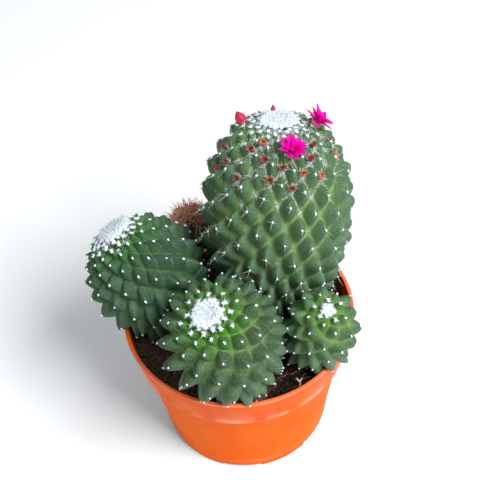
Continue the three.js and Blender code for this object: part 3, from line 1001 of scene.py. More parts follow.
@dataclass(kw_only=True)
class Stem:
    """One stem: a turned skin with tubercles on a golden-angle lattice.

    Attributes:
        name: Its name in the frame, after "stem_".
        foot: Where its axis starts.
        azimuth: Direction in which it leans, in degrees.
        lean: How far it leans, in degrees.
        length: From the foot to the top of the skin.
        radius: Widest radius of the skin.
        neck: Radius at the foot.
        widest: Share of the length at which it is widest.
        flare: Power that shapes the neck.
        dome: Power of the superellipse that shapes the dome.
        cell: Area of one tubercle where the stem is widest, in mm².
        young: Share of the widest radius inside which tubercles shrink.
        tubercle: Height of a grown tubercle.
        spirals: Numbers of the two spirals whose crossings are the tubercles.
        turn: 1 or -1, the way the golden-angle spiral turns.
        phase: Angle of the first tubercle.
        crown: Radius of the woolly crown.
        point: Power of a tubercle's tip: 1 is a pyramid, and more is blunter.
        steep: Power of its foot: below 1 it rises steeply from the furrow, above 1 gently.
        fresh: How bright the youngest tubercles are.
        spine: Length of the longest spines, or 0 where there are none.
        joined: Where the furrow between neighbours of a row lies on the +X side: 1 is at the
            skin, and less lifts it towards their tips.
        droop: How far the lowest tubercles bend down.
        sink: How many lattice steps a tubercle's foot lies below its cell, with the tip kept.
        shift: How far the wool lies off the axis, along the stem's own two cross axes in mm.
        wool: Share of the crown's radius that the wool covers.
        tuft: Size of the areoles beside the wool, against the plain one.
    """

    name: str
    foot: tuple[float, float, float]
    azimuth: float
    lean: float
    length: float
    radius: float
    neck: float
    widest: float
    flare: float
    dome: float
    cell: float
    young: float
    tubercle: float
    spirals: tuple[int, int]
    turn: int
    phase: float
    crown: float
    point: float
    steep: float
    fresh: float
    spine: float = 0.0
    joined: float = 1.0
    droop: float = 0.0
    sink: float = 0.0
    shift: tuple[float, float] = (0.0, 0.0)
    wool: float = 1.0
    tuft: float = 1.0

    # Power of the rounded rhombs of a tubercle, grid steps across its cell, and its unevenness.
    SQUARE = 2.7
    GRID = 14
    UNEVEN = 0.06
    # Slices of the skin, rings of cells below the foot, and rings left out at the pole.
    SLICES = 8000
    RINGS_BELOW = 1.4
    RINGS_SHORT = 1.5
    ROOT_TAPER = 0.6
    # An areole's half width, its hairs' length and their lift: on the flank and beside the wool.
    PAD = (0.6, 1.15)
    HAIR = (0.7, 2.1)
    LIFT = (1.2, 0.3)
    OVAL = (0.72, 1.32)
    # Hairs of an areole, of an axil and of a tuft of the crown, and steps round the cushion.
    HAIRS = 16
    AXIL_HAIRS = 70
    TUFT_HAIRS = 60
    CUSHION_SIDES = 72
    # The spines of an areole: direction in degrees, share of the length and share missing.
    SPINES = ((-90, 0.9, 0.1), (-8, 0.75, 0.22), (188, 0.75, 0.22), (90, 0.6, 0.35))

    def __post_init__(self) -> None:
        """Works out the axes, the table of lattice steps and each tubercle's direction."""
        azimuth, lean = math.radians(self.azimuth), math.radians(self.lean)
        self.axis = np.array(
            [math.sin(lean) * math.cos(azimuth), math.sin(lean) * math.sin(azimuth), math.cos(lean)]
        )
        self.east = unit(np.cross([0, 0, 1], self.axis))
        self.north = np.cross(self.axis, self.east)
        self.rows = np.stack([self.east, self.north, self.axis])
        self.origin = np.array(self.foot)
        self.ring = sum(self.spirals)
        self.by = wrapped(self.turn * np.array(self.spirals) * GOLDEN_ANGLE)
        self._walk()
        crown_step = np.interp(-self.crown, -self.radii[self.domed], self.steps[self.domed])
        self.count = math.floor(math.ceil(crown_step) - self.ring / 2)
        self.first = -round(self.RINGS_BELOW * self.ring)
        self.last = math.floor(self.steps[-1] - self.RINGS_SHORT * self.ring)
        self.cells = np.arange(self.first, self.last + self.ring + 1)
        self._grow()

    def skin_radius(self, height: Array) -> Array:
        """Furrow radius at a height: a tapering root, a flaring neck and a superellipse dome.

        Args:
            height: Heights along the axis in mm.

        Returns:
            The radius at each height.
        """
        t = np.clip(height / self.length, 0, 1)
        swell = np.sin(math.pi / 2 * np.minimum(t / self.widest, 1)) ** self.flare
        flank = self.neck + (self.radius - self.neck) * swell
        up = np.clip((t - self.widest) / (1 - self.widest), 0, 1)
        dome = self.radius * (1 - up**self.dome) ** (1 / self.dome)
        root = 1 - self.ROOT_TAPER * smoothstep(0.15, 1.3, -height / ROOT_DEPTH)
        return np.where(t < self.widest, flank, dome) * root

    def dome_height(self, radius: Array) -> Array:
        """Height of the dome's skin at a radius."""
        up = (1 - (radius / self.radius) ** self.dome) ** (1 / self.dome)
        return self.length * (self.widest + (1 - self.widest) * up)

    def _walk(self) -> None:
        """Adds up lattice steps along the skin: ring area over cell area, slice by slice."""
        heights = np.linspace(-2 * ROOT_DEPTH, self.length, self.SLICES)
        radii = self.skin_radius(heights)
        run = np.hypot(np.diff(heights), np.diff(radii))
        middle = (radii[1:] + radii[:-1]) / 2
        domed = heights[1:] > self.widest * self.length
        size = np.minimum(1, middle / (self.young * self.radius))
        area = self.cell * np.where(domed, size**2, middle / self.radius)
        steps = np.cumsum(TURN * middle * run / area)
        steps -= np.interp(0, heights[1:], steps)
        slopes = np.arctan2(-np.diff(radii), np.diff(heights))
        kept = middle > 0.4 * self.crown
        self.steps, self.heights, self.radii = steps[kept], heights[1:][kept], radii[1:][kept]
        self.slopes, self.domed = slopes[kept], domed[kept]

    def in_cell(
        self, k: Array, u: Array | float, v: Array | float, sink: float = 0.0
    ) -> tuple[Array, Array, Array]:
        """Places in the cell of tubercle k, with u and v from -0.5 to 0.5 along the spirals.

        Args:
            k: Numbers of the tubercles.
            u: Place along the first spiral.
            v: Place along the second spiral.
            sink: Lattice steps by which the places lie lower.

        Returns:
            Points, outward normals and the size of a tubercle there, 1 when grown.
        """
        middle = k + self.ring / 2
        step = middle + u * self.spirals[0] + v * self.spirals[1] - sink
        angle = self.turn * middle * GOLDEN_ANGLE + self.phase + u * self.by[0] + v * self.by[1]
        height = np.interp(step, self.steps, self.heights)
        radius = np.interp(step, self.steps, self.radii)
        slope = np.interp(step, self.steps, self.slopes)[..., None]
        out = self.east * np.cos(angle)[..., None] + self.north * np.sin(angle)[..., None]
        point = self.origin + out * radius[..., None] + self.axis * height[..., None]
        size = np.minimum(1, radius / (self.young * self.radius))
        size = np.where(height > self.widest * self.length, size, 1)
        return point, out * np.cos(slope) + self.axis * np.sin(slope), size

    def on_dome(self, points: Array, near: float, far: float) -> Array:
        """How near the crown places are: 1 at its edge, easing to 0, and 0 below the dome.

        Args:
            points: Places in mm.
            near: Distance from the axis up to which it is 1.
            far: Distance from which it is 0.

        Returns:
            The share at each place.
        """
        away = points - self.origin
        share = 1 - smoothstep(near, far, np.linalg.norm(np.cross(away, self.axis), axis=-1))
        return np.where(away @ self.axis > self.widest * self.length, share, 0)

    def _grow(self) -> None:
        """Direction, height, age and youth of each tubercle, a little uneven."""
        rng = np.random.default_rng(len(self.cells))
        point, normal, self.size = self.in_cell(self.cells, 0, 0, self.sink)
        lift = TIP_LIFT + self.sink * self.cell / (TURN * self.radius * self.tubercle)
        uneven = self.UNEVEN * rng.normal(size=(len(self.cells), 4))
        self.age = 1 - smoothstep(0.3, 0.75, (point - self.origin) @ self.axis / self.length)
        low = self.droop * self.age
        sag = low[:, None] * [0, 0, 1]
        self.direction = unit(normal + lift * self.axis + uneven[:, :3] - sag)
        self.ridge = lerp(1, self.joined, smoothstep(-0.2, 0.5, self.direction[:, 0]))
        grown = smoothstep(BARE_ABOVE_SOIL, FULL_ABOVE_SOIL, point[:, 2] - SOIL_LEVEL)
        longer = math.hypot(1, lift) / math.hypot(1, TIP_LIFT) * (1 + 0.2 * low + uneven[:, 3])
        self.height = self.tubercle * self.size * grown * longer
        self.youth = self.fresh * self.on_dome(point, 1.1 * self.crown, 0.85 * self.radius)
        self.tone = rng.uniform(0, 1, len(self.cells))

    def swell(self, u: Array, v: Array) -> Array:
        """Height of a tubercle over its cell, from 0 on the cell's edges to 1 at the tip.

        A blunt four-sided cone: its level lines are rounded rhombs that fill the cell.

        Args:
            u: Place along the first spiral, by tubercle.
            v: Place along the second spiral, by tubercle.

        Returns:
            The height as a share of the tubercle's.
        """
        a, b = np.abs(2 * u) * self.ridge[:, None, None], np.abs(2 * v)
        edge = np.minimum(1, (a**self.SQUARE + b**self.SQUARE) ** (1 / self.SQUARE))
        return (1 - edge**self.point) ** self.steep

    def _pull(self, u: Array) -> Array:
        """Way and height from the skin to the tip, evened out where neighbours of a row meet.

        Args:
            u: Place along the first spiral, by tubercle.

        Returns:
            A vector in mm for each place.
        """
        pull = self.direction * self.height[:, None]
        number = np.arange(len(pull))[:, None, None]
        beside = np.clip(number + np.where(u < 0, -1, 1) * self.spirals[0], 0, len(pull) - 1)
        share = (0.5 * (self.joined < 1)) * np.abs(2 * u)[..., None] ** 8
        return pull[:, None, None] * (1 - share) + pull[beside] * share

    def mesh(self) -> Mesh:
        """The whole stem: a grid over each cell, with its last row taken from the neighbours.

        Returns:
            The closed mesh with the values "rise", "youth", "age" and "tone".
        """
        m, n = self.spirals
        steps = np.arange(self.GRID) / self.GRID - 0.5
        k, u, v = np.meshgrid(self.cells, steps, steps, indexing="ij")
        point, _, _ = self.in_cell(k, u, v, self.sink)
        rise = self.swell(u, v)
        points = clear_of_rim(point + self._pull(u) * rise[..., None])
        values = {"rise": rise * smoothstep(0, 0.5, self.height / self.tubercle)[:, None, None]}
        for key, value in (("youth", self.youth), ("age", self.age), ("tone", self.tone)):
            values[key] = np.broadcast_to(value[:, None, None], rise.shape)
        faced = np.arange(self.last - self.first)[:, None, None]
        i, j = np.meshgrid(np.arange(self.GRID), np.arange(self.GRID), indexing="ij")

        def index(di: int, dj: int) -> Array:
            """Index of a cell's grid point, wrapped into the next cell of each spiral.

            Args:
                di: Grid steps on along the first spiral.
                dj: Grid steps on along the second spiral.

            Returns:
                The index for each point of each faced cell.
            """
            over_i, in_i = np.divmod(i + di, self.GRID)
            over_j, in_j = np.divmod(j + dj, self.GRID)
            cell = faced + m * over_i + n * over_j
            return (cell * self.GRID + in_i) * self.GRID + in_j

        quads = np.stack([index(0, 0), index(1, 0), index(1, 1), index(0, 1)], -1).reshape(-1, 4)
        if self.by[0] * n < self.by[1] * m:
            quads = quads[:, ::-1]
        used, quads = np.unique(quads, return_inverse=True)
        values = {key: value.ravel()[used] for key, value in values.items()}
        surface = Surface(points.reshape(-1, 3)[used], [quads.reshape(-1, 4)], values)
        mesh = surface.mesh(f"{self.name}_stem")
        self._close(mesh)
        return mesh

    @staticmethod
    def _close(mesh: Mesh) -> None:
        """Closes the root's end and the hole under the wool with a fan each.

        Args:
            mesh: The stem's mesh, which is changed.
        """
        shell = bmesh.new()
        shell.from_mesh(mesh)
        ends = bmesh.ops.holes_fill(shell, edges=shell.edges, sides=0)["faces"]
        bmesh.ops.poke(shell, faces=ends)
        bmesh.ops.recalc_face_normals(shell, faces=shell.faces)
        shell.to_mesh(mesh)
        shell.free()

    def tips(self) -> tuple[Array, Array, Axes]:
        """The tubercles that carry an areole.

        Returns:
            Their indices, the places of their tips, and the side, up and forward directions there.
        """
        shown = (self.cells >= -self.ring // 2) & (self.height > 0.3 * self.tubercle * self.size)
        shown &= self.cells < self.last
        chosen = np.nonzero(shown)[0]
        point, _, _ = self.in_cell(self.cells[chosen], 0, 0, self.sink)
        forward = self.direction[chosen]
        side, up = axes_about(forward, self.axis)
        tips = clear_of_rim(point + forward * self.height[chosen, None])
        return chosen, tips, (side, up, forward)

    def areoles(self, rng: Random) -> Surface:
        """A tuft of wool on each tip: a lumpy pad with short hairs, larger near the crown.

        Args:
            rng: Source of their unevenness.

        Returns:
            The pads and hairs as one surface.
        """
        _, tips, axes = self.tips()
        young = self.on_dome(tips, self.crown, self.crown + 0.45 * self.radius)
        size, length = (
            lerp(flank, beside * self.tuft, young) for flank, beside in (self.PAD, self.HAIR)
        )
        size = size * rng.uniform(0.85, 1.15, len(tips))
        shape = rng.uniform(0.85, 1.1, (len(tips), 2)) * self.OVAL
        radii = np.stack([size * shape[:, 0], size * shape[:, 1], 0.5 * size], -1)
        pads = blobs(tips + 0.08 * axes[2], axes, radii, 0.5 * (1 - young), 0.16, rng)
        lift = lerp(*self.LIFT, young)
        tones = 0.4 * (1 - young)
        hairs = stars(tips, axes, self.HAIRS, length, lift, 0.3, tones, rng, lobes=4)
        return Surface.joined([pads, hairs])

    def spines(self, rng: Random) -> Surface:
        """Four spines to an areole: the lowest is the longest, and a few are missing.

        Args:
            rng: Source of their directions and lengths, and of which are missing.

        Returns:
            The spines as one surface.
        """
        chosen, tips, (side, up, forward) = self.tips()
        degrees, shares, missing = np.array(self.SPINES).T
        shape = (len(tips), len(degrees))
        angle = (np.radians(degrees) + 0.35 * rng.normal(size=shape))[..., None]
        length = self.spine * (shares * rng.uniform(0.5, 1.15, shape))
        kept = rng.uniform(size=shape) > missing
        kept &= self.size[chosen, None] > 0.5
        rise = rng.uniform(0.35, 0.9, (*shape, 1))
        way = side[:, None] * np.cos(angle) + up[:, None] * np.sin(angle)
        way = unit(way + forward[:, None] * rise)[kept]
        root = np.repeat(tips[:, None], len(degrees), axis=1)[kept] + 0.2 * way
        bend, tone = 0.12 * rng.normal(size=way.shape), rng.uniform(0, 1, len(way))
        return spikes(root, way, length[kept], 0.17, bend, tone, (0.0, 0.4, 0.8), sides=4)

    def in_axil(self, k: Array, lift: float) -> tuple[Array, Axes]:
        """Seats in the furrows above tubercles k.

        Args:
            k: Numbers of the tubercles.
            lift: How far a piece there turns up towards the stem's tip.

        Returns:
            Places, and for each the side, forward and up directions of a piece that stands there.
        """
        point, normal, _ = self.in_cell(k, 0.5, 0.5)
        up = unit(normal + lift * self.axis)
        side = unit(np.cross(self.axis, up))
        return point + AXIL_SEAT * up, (side, np.cross(up, side), up)

    def seated(self, shape: Surface, axil: int, lift: float) -> Surface:
        """A shape that was made about +Z, moved into one furrow."""
        place, axes = self.in_axil(np.array([axil]), lift)
        return Surface(place + shape.points @ np.concatenate(axes), shape.faces, shape.values)

    def axil_wool(
        self, axils: Array, spread: float, size: float, lift: float, rng: Random
    ) -> Surface:
        """Wool in the furrows: hairs along the two edges that meet in each of the axils.

        Args:
            axils: Numbers of the axils.
            spread: How far along the edges the hairs stand, as a share of an edge.
            size: Length of a full hair in mm.
            lift: How far above the furrow the highest hairs start, in mm.
            rng: Source of the hairs.

        Returns:
            The hairs as one surface.
        """
        k = np.repeat(axils, self.AXIL_HAIRS)
        total = len(k)
        away = np.minimum(0.8, rng.exponential(spread, total))
        first = rng.uniform(size=total) < 0.5
        stray = 0.03 * rng.normal(size=(2, total))
        u = 0.5 - np.where(first, away, 0) + stray[0]
        v = 0.5 - np.where(first, 0, away) + stray[1]
        place, normal, grown = self.in_cell(k, u, v, self.sink)
        ahead, _, _ = self.in_cell(k, u + 0.05 * first, v + 0.05 * ~first, self.sink)
        along = unit(ahead - place + 1e-6) * rng.choice([-1, 1], total)[:, None]
        way = unit(
            along + rng.uniform(0.2, 1.0, (total, 1)) * normal + 0.35 * rng.normal(size=(total, 3))
        )
        place = place + rng.uniform(0.2, lift, (total, 1)) * normal
        place = place + 0.35 * rng.normal(size=(total, 3))
        length = size * grown * rng.uniform(0.5, 1.3, total) * (1 - 0.6 * away)
        bends = 0.3 * rng.normal(size=(total, 3))
        return spikes(place, way, length, 0.24, bends, rng.uniform(0, 0.5, total), (0.0, 0.5))

    def crown_height(self, radius: Array) -> Array:
        """Height at which wool lies on the youngest tips, at a radius from the axis."""
        tip = 1.38 * self.tubercle * radius / (self.young * self.radius)
        return self.dome_height(radius) + tip

    def placed(self, local: Array) -> Array:
        """Points made about +Z from the foot, moved on to the stem's axis."""
        return self.origin + local @ self.rows

    def planted(self, shape: Surface) -> Surface:
        """A shape made about +Z from the foot, moved on to the stem's axis."""
        return Surface(self.placed(shape.points), shape.faces, shape.values)

    def cushion(self, rng: Random) -> Surface:
        """The felt under the crown's tufts: a low dome whose underside lies on the youngest tips.

        Its outline is a circle with waves at two scales.

        Args:
            rng: Source of its waves and lumps.

        Returns:
            One closed shell.
        """
        crown = self.crown * self.wool
        angle = turn_steps(self.CUSHION_SIDES)
        edge = 1 + 0.08 * np.sin(11 * angle + 2) + 0.1 * rng.uniform(-1, 1, len(angle))
        shares = np.concatenate([np.linspace(0.25, 1, 5), np.linspace(0.97, 0.12, 9)])[:, None]
        under = np.arange(len(shares))[:, None] < 5
        radius = 0.72 * crown * shares * (1 + (edge - 1) * shares**2)
        rise = np.where(under, 0.4, 0.6 + 1.3 * np.sqrt(1 - 0.97 * shares**2))
        lumps = rng.uniform(-0.22, 0.22, radius.shape) * ~under
        rings = cylindrical(radius, angle, 0.0)
        x, y = rings[..., 0] + self.shift[0], rings[..., 1] + self.shift[1]
        away = np.maximum(np.hypot(x, y), np.where(under, 0, 0.5 * crown))
        rings[..., 2] = self.crown_height(away) + rise + lumps
        bottom, top = self.length + 0.35, self.crown_height(0.5 * crown) + 1.9
        felt = upright(rings, bottom, top, along=0.6, tone=0.0)
        felt.points += [*self.shift, 0]
        return self.planted(felt)

    def crown_wool(self, rng: Random) -> Surface:
        """The woolly crown: a thin ragged cushion under tufts on a golden-angle spiral.

        Each tuft is a lumpy pad with hairs that lie flat at the crown's edge and stand up in its
        middle.

        Args:
            rng: Source of its unevenness.

        Returns:
            The cushion, pads and hairs as one surface.
        """
        cushion = self.cushion(rng)
        crown = self.crown * self.wool
        tufts = max(9, round(crown**2))
        number = np.arange(tufts) + 0.5
        share = np.sqrt(number / tufts)
        out = cylindrical(1.0, number * GOLDEN_ANGLE * self.turn, 0.0)
        centre = out * (crown * 0.95 * share)[:, None] + [*self.shift, 0]
        away = np.maximum(np.hypot(centre[:, 0], centre[:, 1]), 0.5 * crown)
        centre[:, 2] = self.crown_height(away) + 0.4 + 1.2 * np.sqrt(1 - share**2)
        upward = unit(out * (0.55 * share)[:, None] + [0, 0, 1]) @ self.rows
        side = unit(np.cross(upward, out @ self.rows))
        axes = (side, np.cross(upward, side), upward)
        centre = self.placed(centre)
        size = (1.2 - 0.35 * share) * rng.uniform(0.8, 1.15, tufts)
        pads = blobs(centre, axes, size[:, None] * [1.0, 1.1, 0.6], 0.0, 0.2, rng)
        length, lift = 2.1 - 0.6 * share, 0.4 + 0.1 * share
        fine = stars(centre, axes, self.TUFT_HAIRS, length, lift, 0.26, 0.0, rng)
        return Surface.joined([cushion, pads, fine])

    def starbursts(self, hairs: int, length: float, rng: Random) -> Surface:
        """Flat stars of dry spines on the tips of a withered stem.

        Args:
            hairs: Spines to a tip.
            length: Their middle length in mm.
            rng: Source of their directions and lengths.

        Returns:
            The spines as one surface.
        """
        _, tips, axes = self.tips()
        tones = rng.uniform(0, 1, len(tips))
        return stars(tips, axes, hairs, length, 0.3, 0.4, tones, rng, bend=0.25)

    def dress(self, wool: Material, spine: Material) -> None:
        """Adds the skin, areoles, crown and spines of a green stem.

        Args:
            wool: Finish of the areoles and the crown.
            spine: Finish of the spines.
        """
        name = self.name
        rng = np.random.default_rng(self.count)
        skin = SKINS[name].material()
        add_piece(f"{name}_stem", self.mesh(), skin, [f"stem_{name}"])
        add_piece(f"{name}_areoles", self.areoles(rng), wool)
        add_piece(f"{name}_crown_wool", self.crown_wool(rng), wool, [f"wool_{name}"])
        if self.spine:
            add_piece(f"{name}_spines", self.spines(rng), spine)


MAIN = Stem(
    name="main", foot=(20.2, 12.6, 73.0), azimuth=74.0, lean=13.6, length=105.5, radius=31.9,
    neck=17.0, widest=0.5, flare=1.0, dome=2.45, cell=110.0, young=1.0, tubercle=7.0,
    spirals=(13, 21), turn=-1, phase=5.255, crown=9.6, point=2.0, steep=0.88, fresh=0.5,
    spine=5.5, sink=3.2, wool=0.96, tuft=0.84,
)
LEFT = Stem(
    name="left", foot=(-27.1, 1.7, 71.0), azimuth=152.8, lean=30.0, length=70.4, radius=24.3,
    neck=11.0, widest=0.6, flare=1.8, dome=1.9, cell=79.0, young=1.05, tubercle=7.2,
    spirals=(13, 21), turn=1, phase=0.67, crown=9.2, point=1.4, steep=0.85, fresh=1.0,
    joined=0.78, droop=0.8, shift=(0.6, 2.4), wool=0.94, tuft=1.1,
)
FRONT = Stem(
    name="front", foot=(-1.1, -30.1, 73.0), azimuth=-136.4, lean=16.0, length=63.4, radius=22.6,
    neck=12.0, widest=0.6, flare=1.3, dome=2.33, cell=81.4, young=0.876, tubercle=7.4,
    spirals=(8, 13), turn=-1, phase=5.734, crown=7.2, point=2.3, steep=0.95, fresh=1.0, droop=1.0,
)
RIGHT = Stem(
    name="right", foot=(35.5, -23.1, 71.6), azimuth=-63.2, lean=15.0, length=49.0, radius=13.36,
    neck=8.0, widest=0.55, flare=1.2, dome=2.9, cell=59.0, young=0.82, tubercle=5.4,
    spirals=(5, 8), turn=1, phase=5.8, crown=3.2, point=1.8, steep=1.0, fresh=0.9, droop=0.7,
    sink=1.2,
)
WITHERED = Stem(
    name="withered", foot=(-17.4, 40.2, 72.0), azimuth=130.0, lean=11.2, length=42.8, radius=8.6,
    neck=6.0, widest=0.5, flare=1.0, dome=2.2, cell=44.0, young=0.9, tubercle=3.4,
    spirals=(5, 8), turn=1, phase=0.0, crown=3.4, point=1.5, steep=0.9, fresh=0.0,
)
STEMS = (MAIN, LEFT, FRONT, RIGHT, WITHERED)
GREEN_STEMS = STEMS[:-1]

SKINS = {
    "main": Skin(
        name="main_skin", deep=rgb(58, 90, 66), flank=rgb(88, 119, 75), furrow=rgb(138, 161, 101),
        margin=0.42, cap=0.36, wear=0.6,
    ),
    "left": Skin(
        name="left_skin", deep=rgb(47, 72, 56), flank=rgb(62, 92, 62), furrow=rgb(60, 88, 56),
        fresh=rgb(58, 112, 44), fresh_furrow=rgb(52, 110, 32), shade=rgb(36, 60, 48),
        speck=rgb(92, 122, 88),
    ),
    "front": Skin(
        name="front_skin", deep=rgb(44, 72, 48), flank=rgb(66, 94, 54), furrow=rgb(100, 124, 74),
        fresh=rgb(58, 126, 14), fresh_furrow=rgb(80, 140, 4), shade=rgb(38, 62, 48),
        speck=rgb(112, 136, 98), margin=0.3, wear=0.85,
    ),
    "right": Skin(
        name="right_skin", deep=rgb(56, 86, 64), flank=rgb(86, 118, 72), furrow=rgb(116, 144, 74),
        fresh=rgb(66, 120, 40), fresh_furrow=rgb(84, 134, 30), margin=0.45, wear=1.0,
    ),
    "withered": Skin(
        name="withered_skin", roughness=0.6, grain=700.0, depth=0.4, specular=0.4,
        deep=rgb(56, 72, 48), flank=rgb(72, 84, 52), furrow=rgb(80, 78, 50),
    ),
}


def dress_green_stems() -> None:
    """The green stems, and the wool in the furrows of two of them."""
    wool = Fibre(
        name="white_wool", roughness=0.85, grain=1200.0, depth=0.1, specular=0.2,
        root=rgb(232, 246, 255), tip=rgb(248, 253, 255), other=rgb(232, 238, 232),
    ).material()
    spine = Fibre(
        name="pale_spines", roughness=0.5, depth=0.02,
        root=rgb(246, 248, 238), tip=rgb(240, 238, 222), other=rgb(226, 216, 194),
    ).material()
    for stem in GREEN_STEMS:
        stem.dress(wool, spine)
    rng = np.random.default_rng(7)
    # A stem and its axils, and the wool's spread along their edges, its length and its lift.
    rows = (
        (MAIN, range(106, 128), 0.06, 0.9, 0.7),
        (MAIN, DRIED_FLOWERS, 0.3, 2.4, 1.8),
        (MAIN, range(146, 170), 0.3, 2.4, 2.4),
        (MAIN, range(170, MAIN.count), 0.24, 2.6, 3.0),
        (LEFT, range(LEFT.count - 34, LEFT.count, 2), 0.24, 1.6, 1.6),
    )
    wisps = [stem.axil_wool(np.array(list(axils)), *sizes, rng) for stem, axils, *sizes in rows]
    add_piece("axil_wool", Surface.joined(wisps), wool)


# ---- dry tuft


@dataclass
class DryTuft:
    """The withered stem's tuft: a nest of curled dry bristles over a low felted core.

    Attributes:
        stem: The stem that it sits on.
        bristles: How many bristles it has.
        clumps: How many clumps they stand in.
        core: Radius of the core.
    """

    stem: Stem
    bristles: int = 1250
    clumps: int = 18
    core: float = 5.6

    # Share of the core's radius and height above the tips, from its underside to its top.
    CORE = ((0.4, -3.2), (0.8, -3.2), (1.0, -3.2), (0.95, -2.8), (0.7, -2.4), (0.4, -2.2))

    def nest(self, rng: Random) -> Surface:
        """Bristles that stand every way in clumps.

        Args:
            rng: Source of the clumps and bristles.

        Returns:
            The bristles as one surface.
        """
        total = self.bristles
        turn = rng.uniform(0, TURN, self.clumps)
        clumps = cylindrical(1.0, turn, rng.uniform(-2.0, 0.6, self.clumps)) * [8.4, 6.6, 1]
        clumps *= np.sqrt(rng.uniform(0.1, 1, (self.clumps, 1)))
        spot = clumps[rng.integers(0, self.clumps, total)]
        spot = spot + rng.normal(size=(total, 3)) * [1.6, 1.6, 0.9]
        away = np.minimum(np.hypot(spot[:, 0], spot[:, 1]), 6.5)
        spot[:, 2] += self.stem.crown_height(away) - 3.0
        way = unit(rng.normal(size=(total, 3)) * [1, 1, 0.38] + [0, 0, 0.12])
        length, width = rng.uniform(2.2, 6.0, total), rng.uniform(0.4, 0.85, total)
        bend, tone = 0.5 * rng.normal(size=(total, 3)), rng.uniform(0, 1, total)
        root, stations = self.stem.placed(spot), (0.0, 0.25, 0.5, 0.75)
        return spikes(root, way @ self.stem.rows, length, width, bend, tone, stations)

    def felt(self, rng: Random) -> Surface:
        """The core: a low mound with an uneven outline, sunk between the tips.

        Args:
            rng: Source of its unevenness.

        Returns:
            One closed shell.
        """
        angle = turn_steps(30)
        shares, rise = np.array(self.CORE).T[..., None]
        radius = self.core * shares * (1 + 0.08 * rng.normal(size=(len(shares), len(angle))))
        height = self.stem.crown_height(np.minimum(radius, self.core - 0.1)) + rise
        bottom, top = self.stem.length - 3.2, self.stem.length - 1.6
        rings = cylindrical(radius, angle, height)
        return self.stem.planted(upright(rings, bottom, top, along=0.0, tone=0.0))

    def dress(self) -> None:
        """Adds the withered stem, its tuft and the dry stars of spines on its tips."""
        skin = SKINS[self.stem.name].material()
        add_piece("withered_stem", self.stem.mesh(), skin, ["stem_withered"])
        bristle = Fibre(
            name="dry_bristles", roughness=0.7,
            root=rgb(176, 110, 80), tip=rgb(255, 230, 210), other=rgb(232, 146, 104),
        ).material()
        rng = np.random.default_rng(5)
        nest = self.nest(rng)
        tuft = Surface.joined([self.felt(rng), nest])
        add_piece("withered_tuft", tuft, bristle, ["dry_tuft"])
        bursts = self.stem.starbursts(12, 2.6, rng)
        add_piece("withered_spines", bursts, bristle)


# ---- flowers


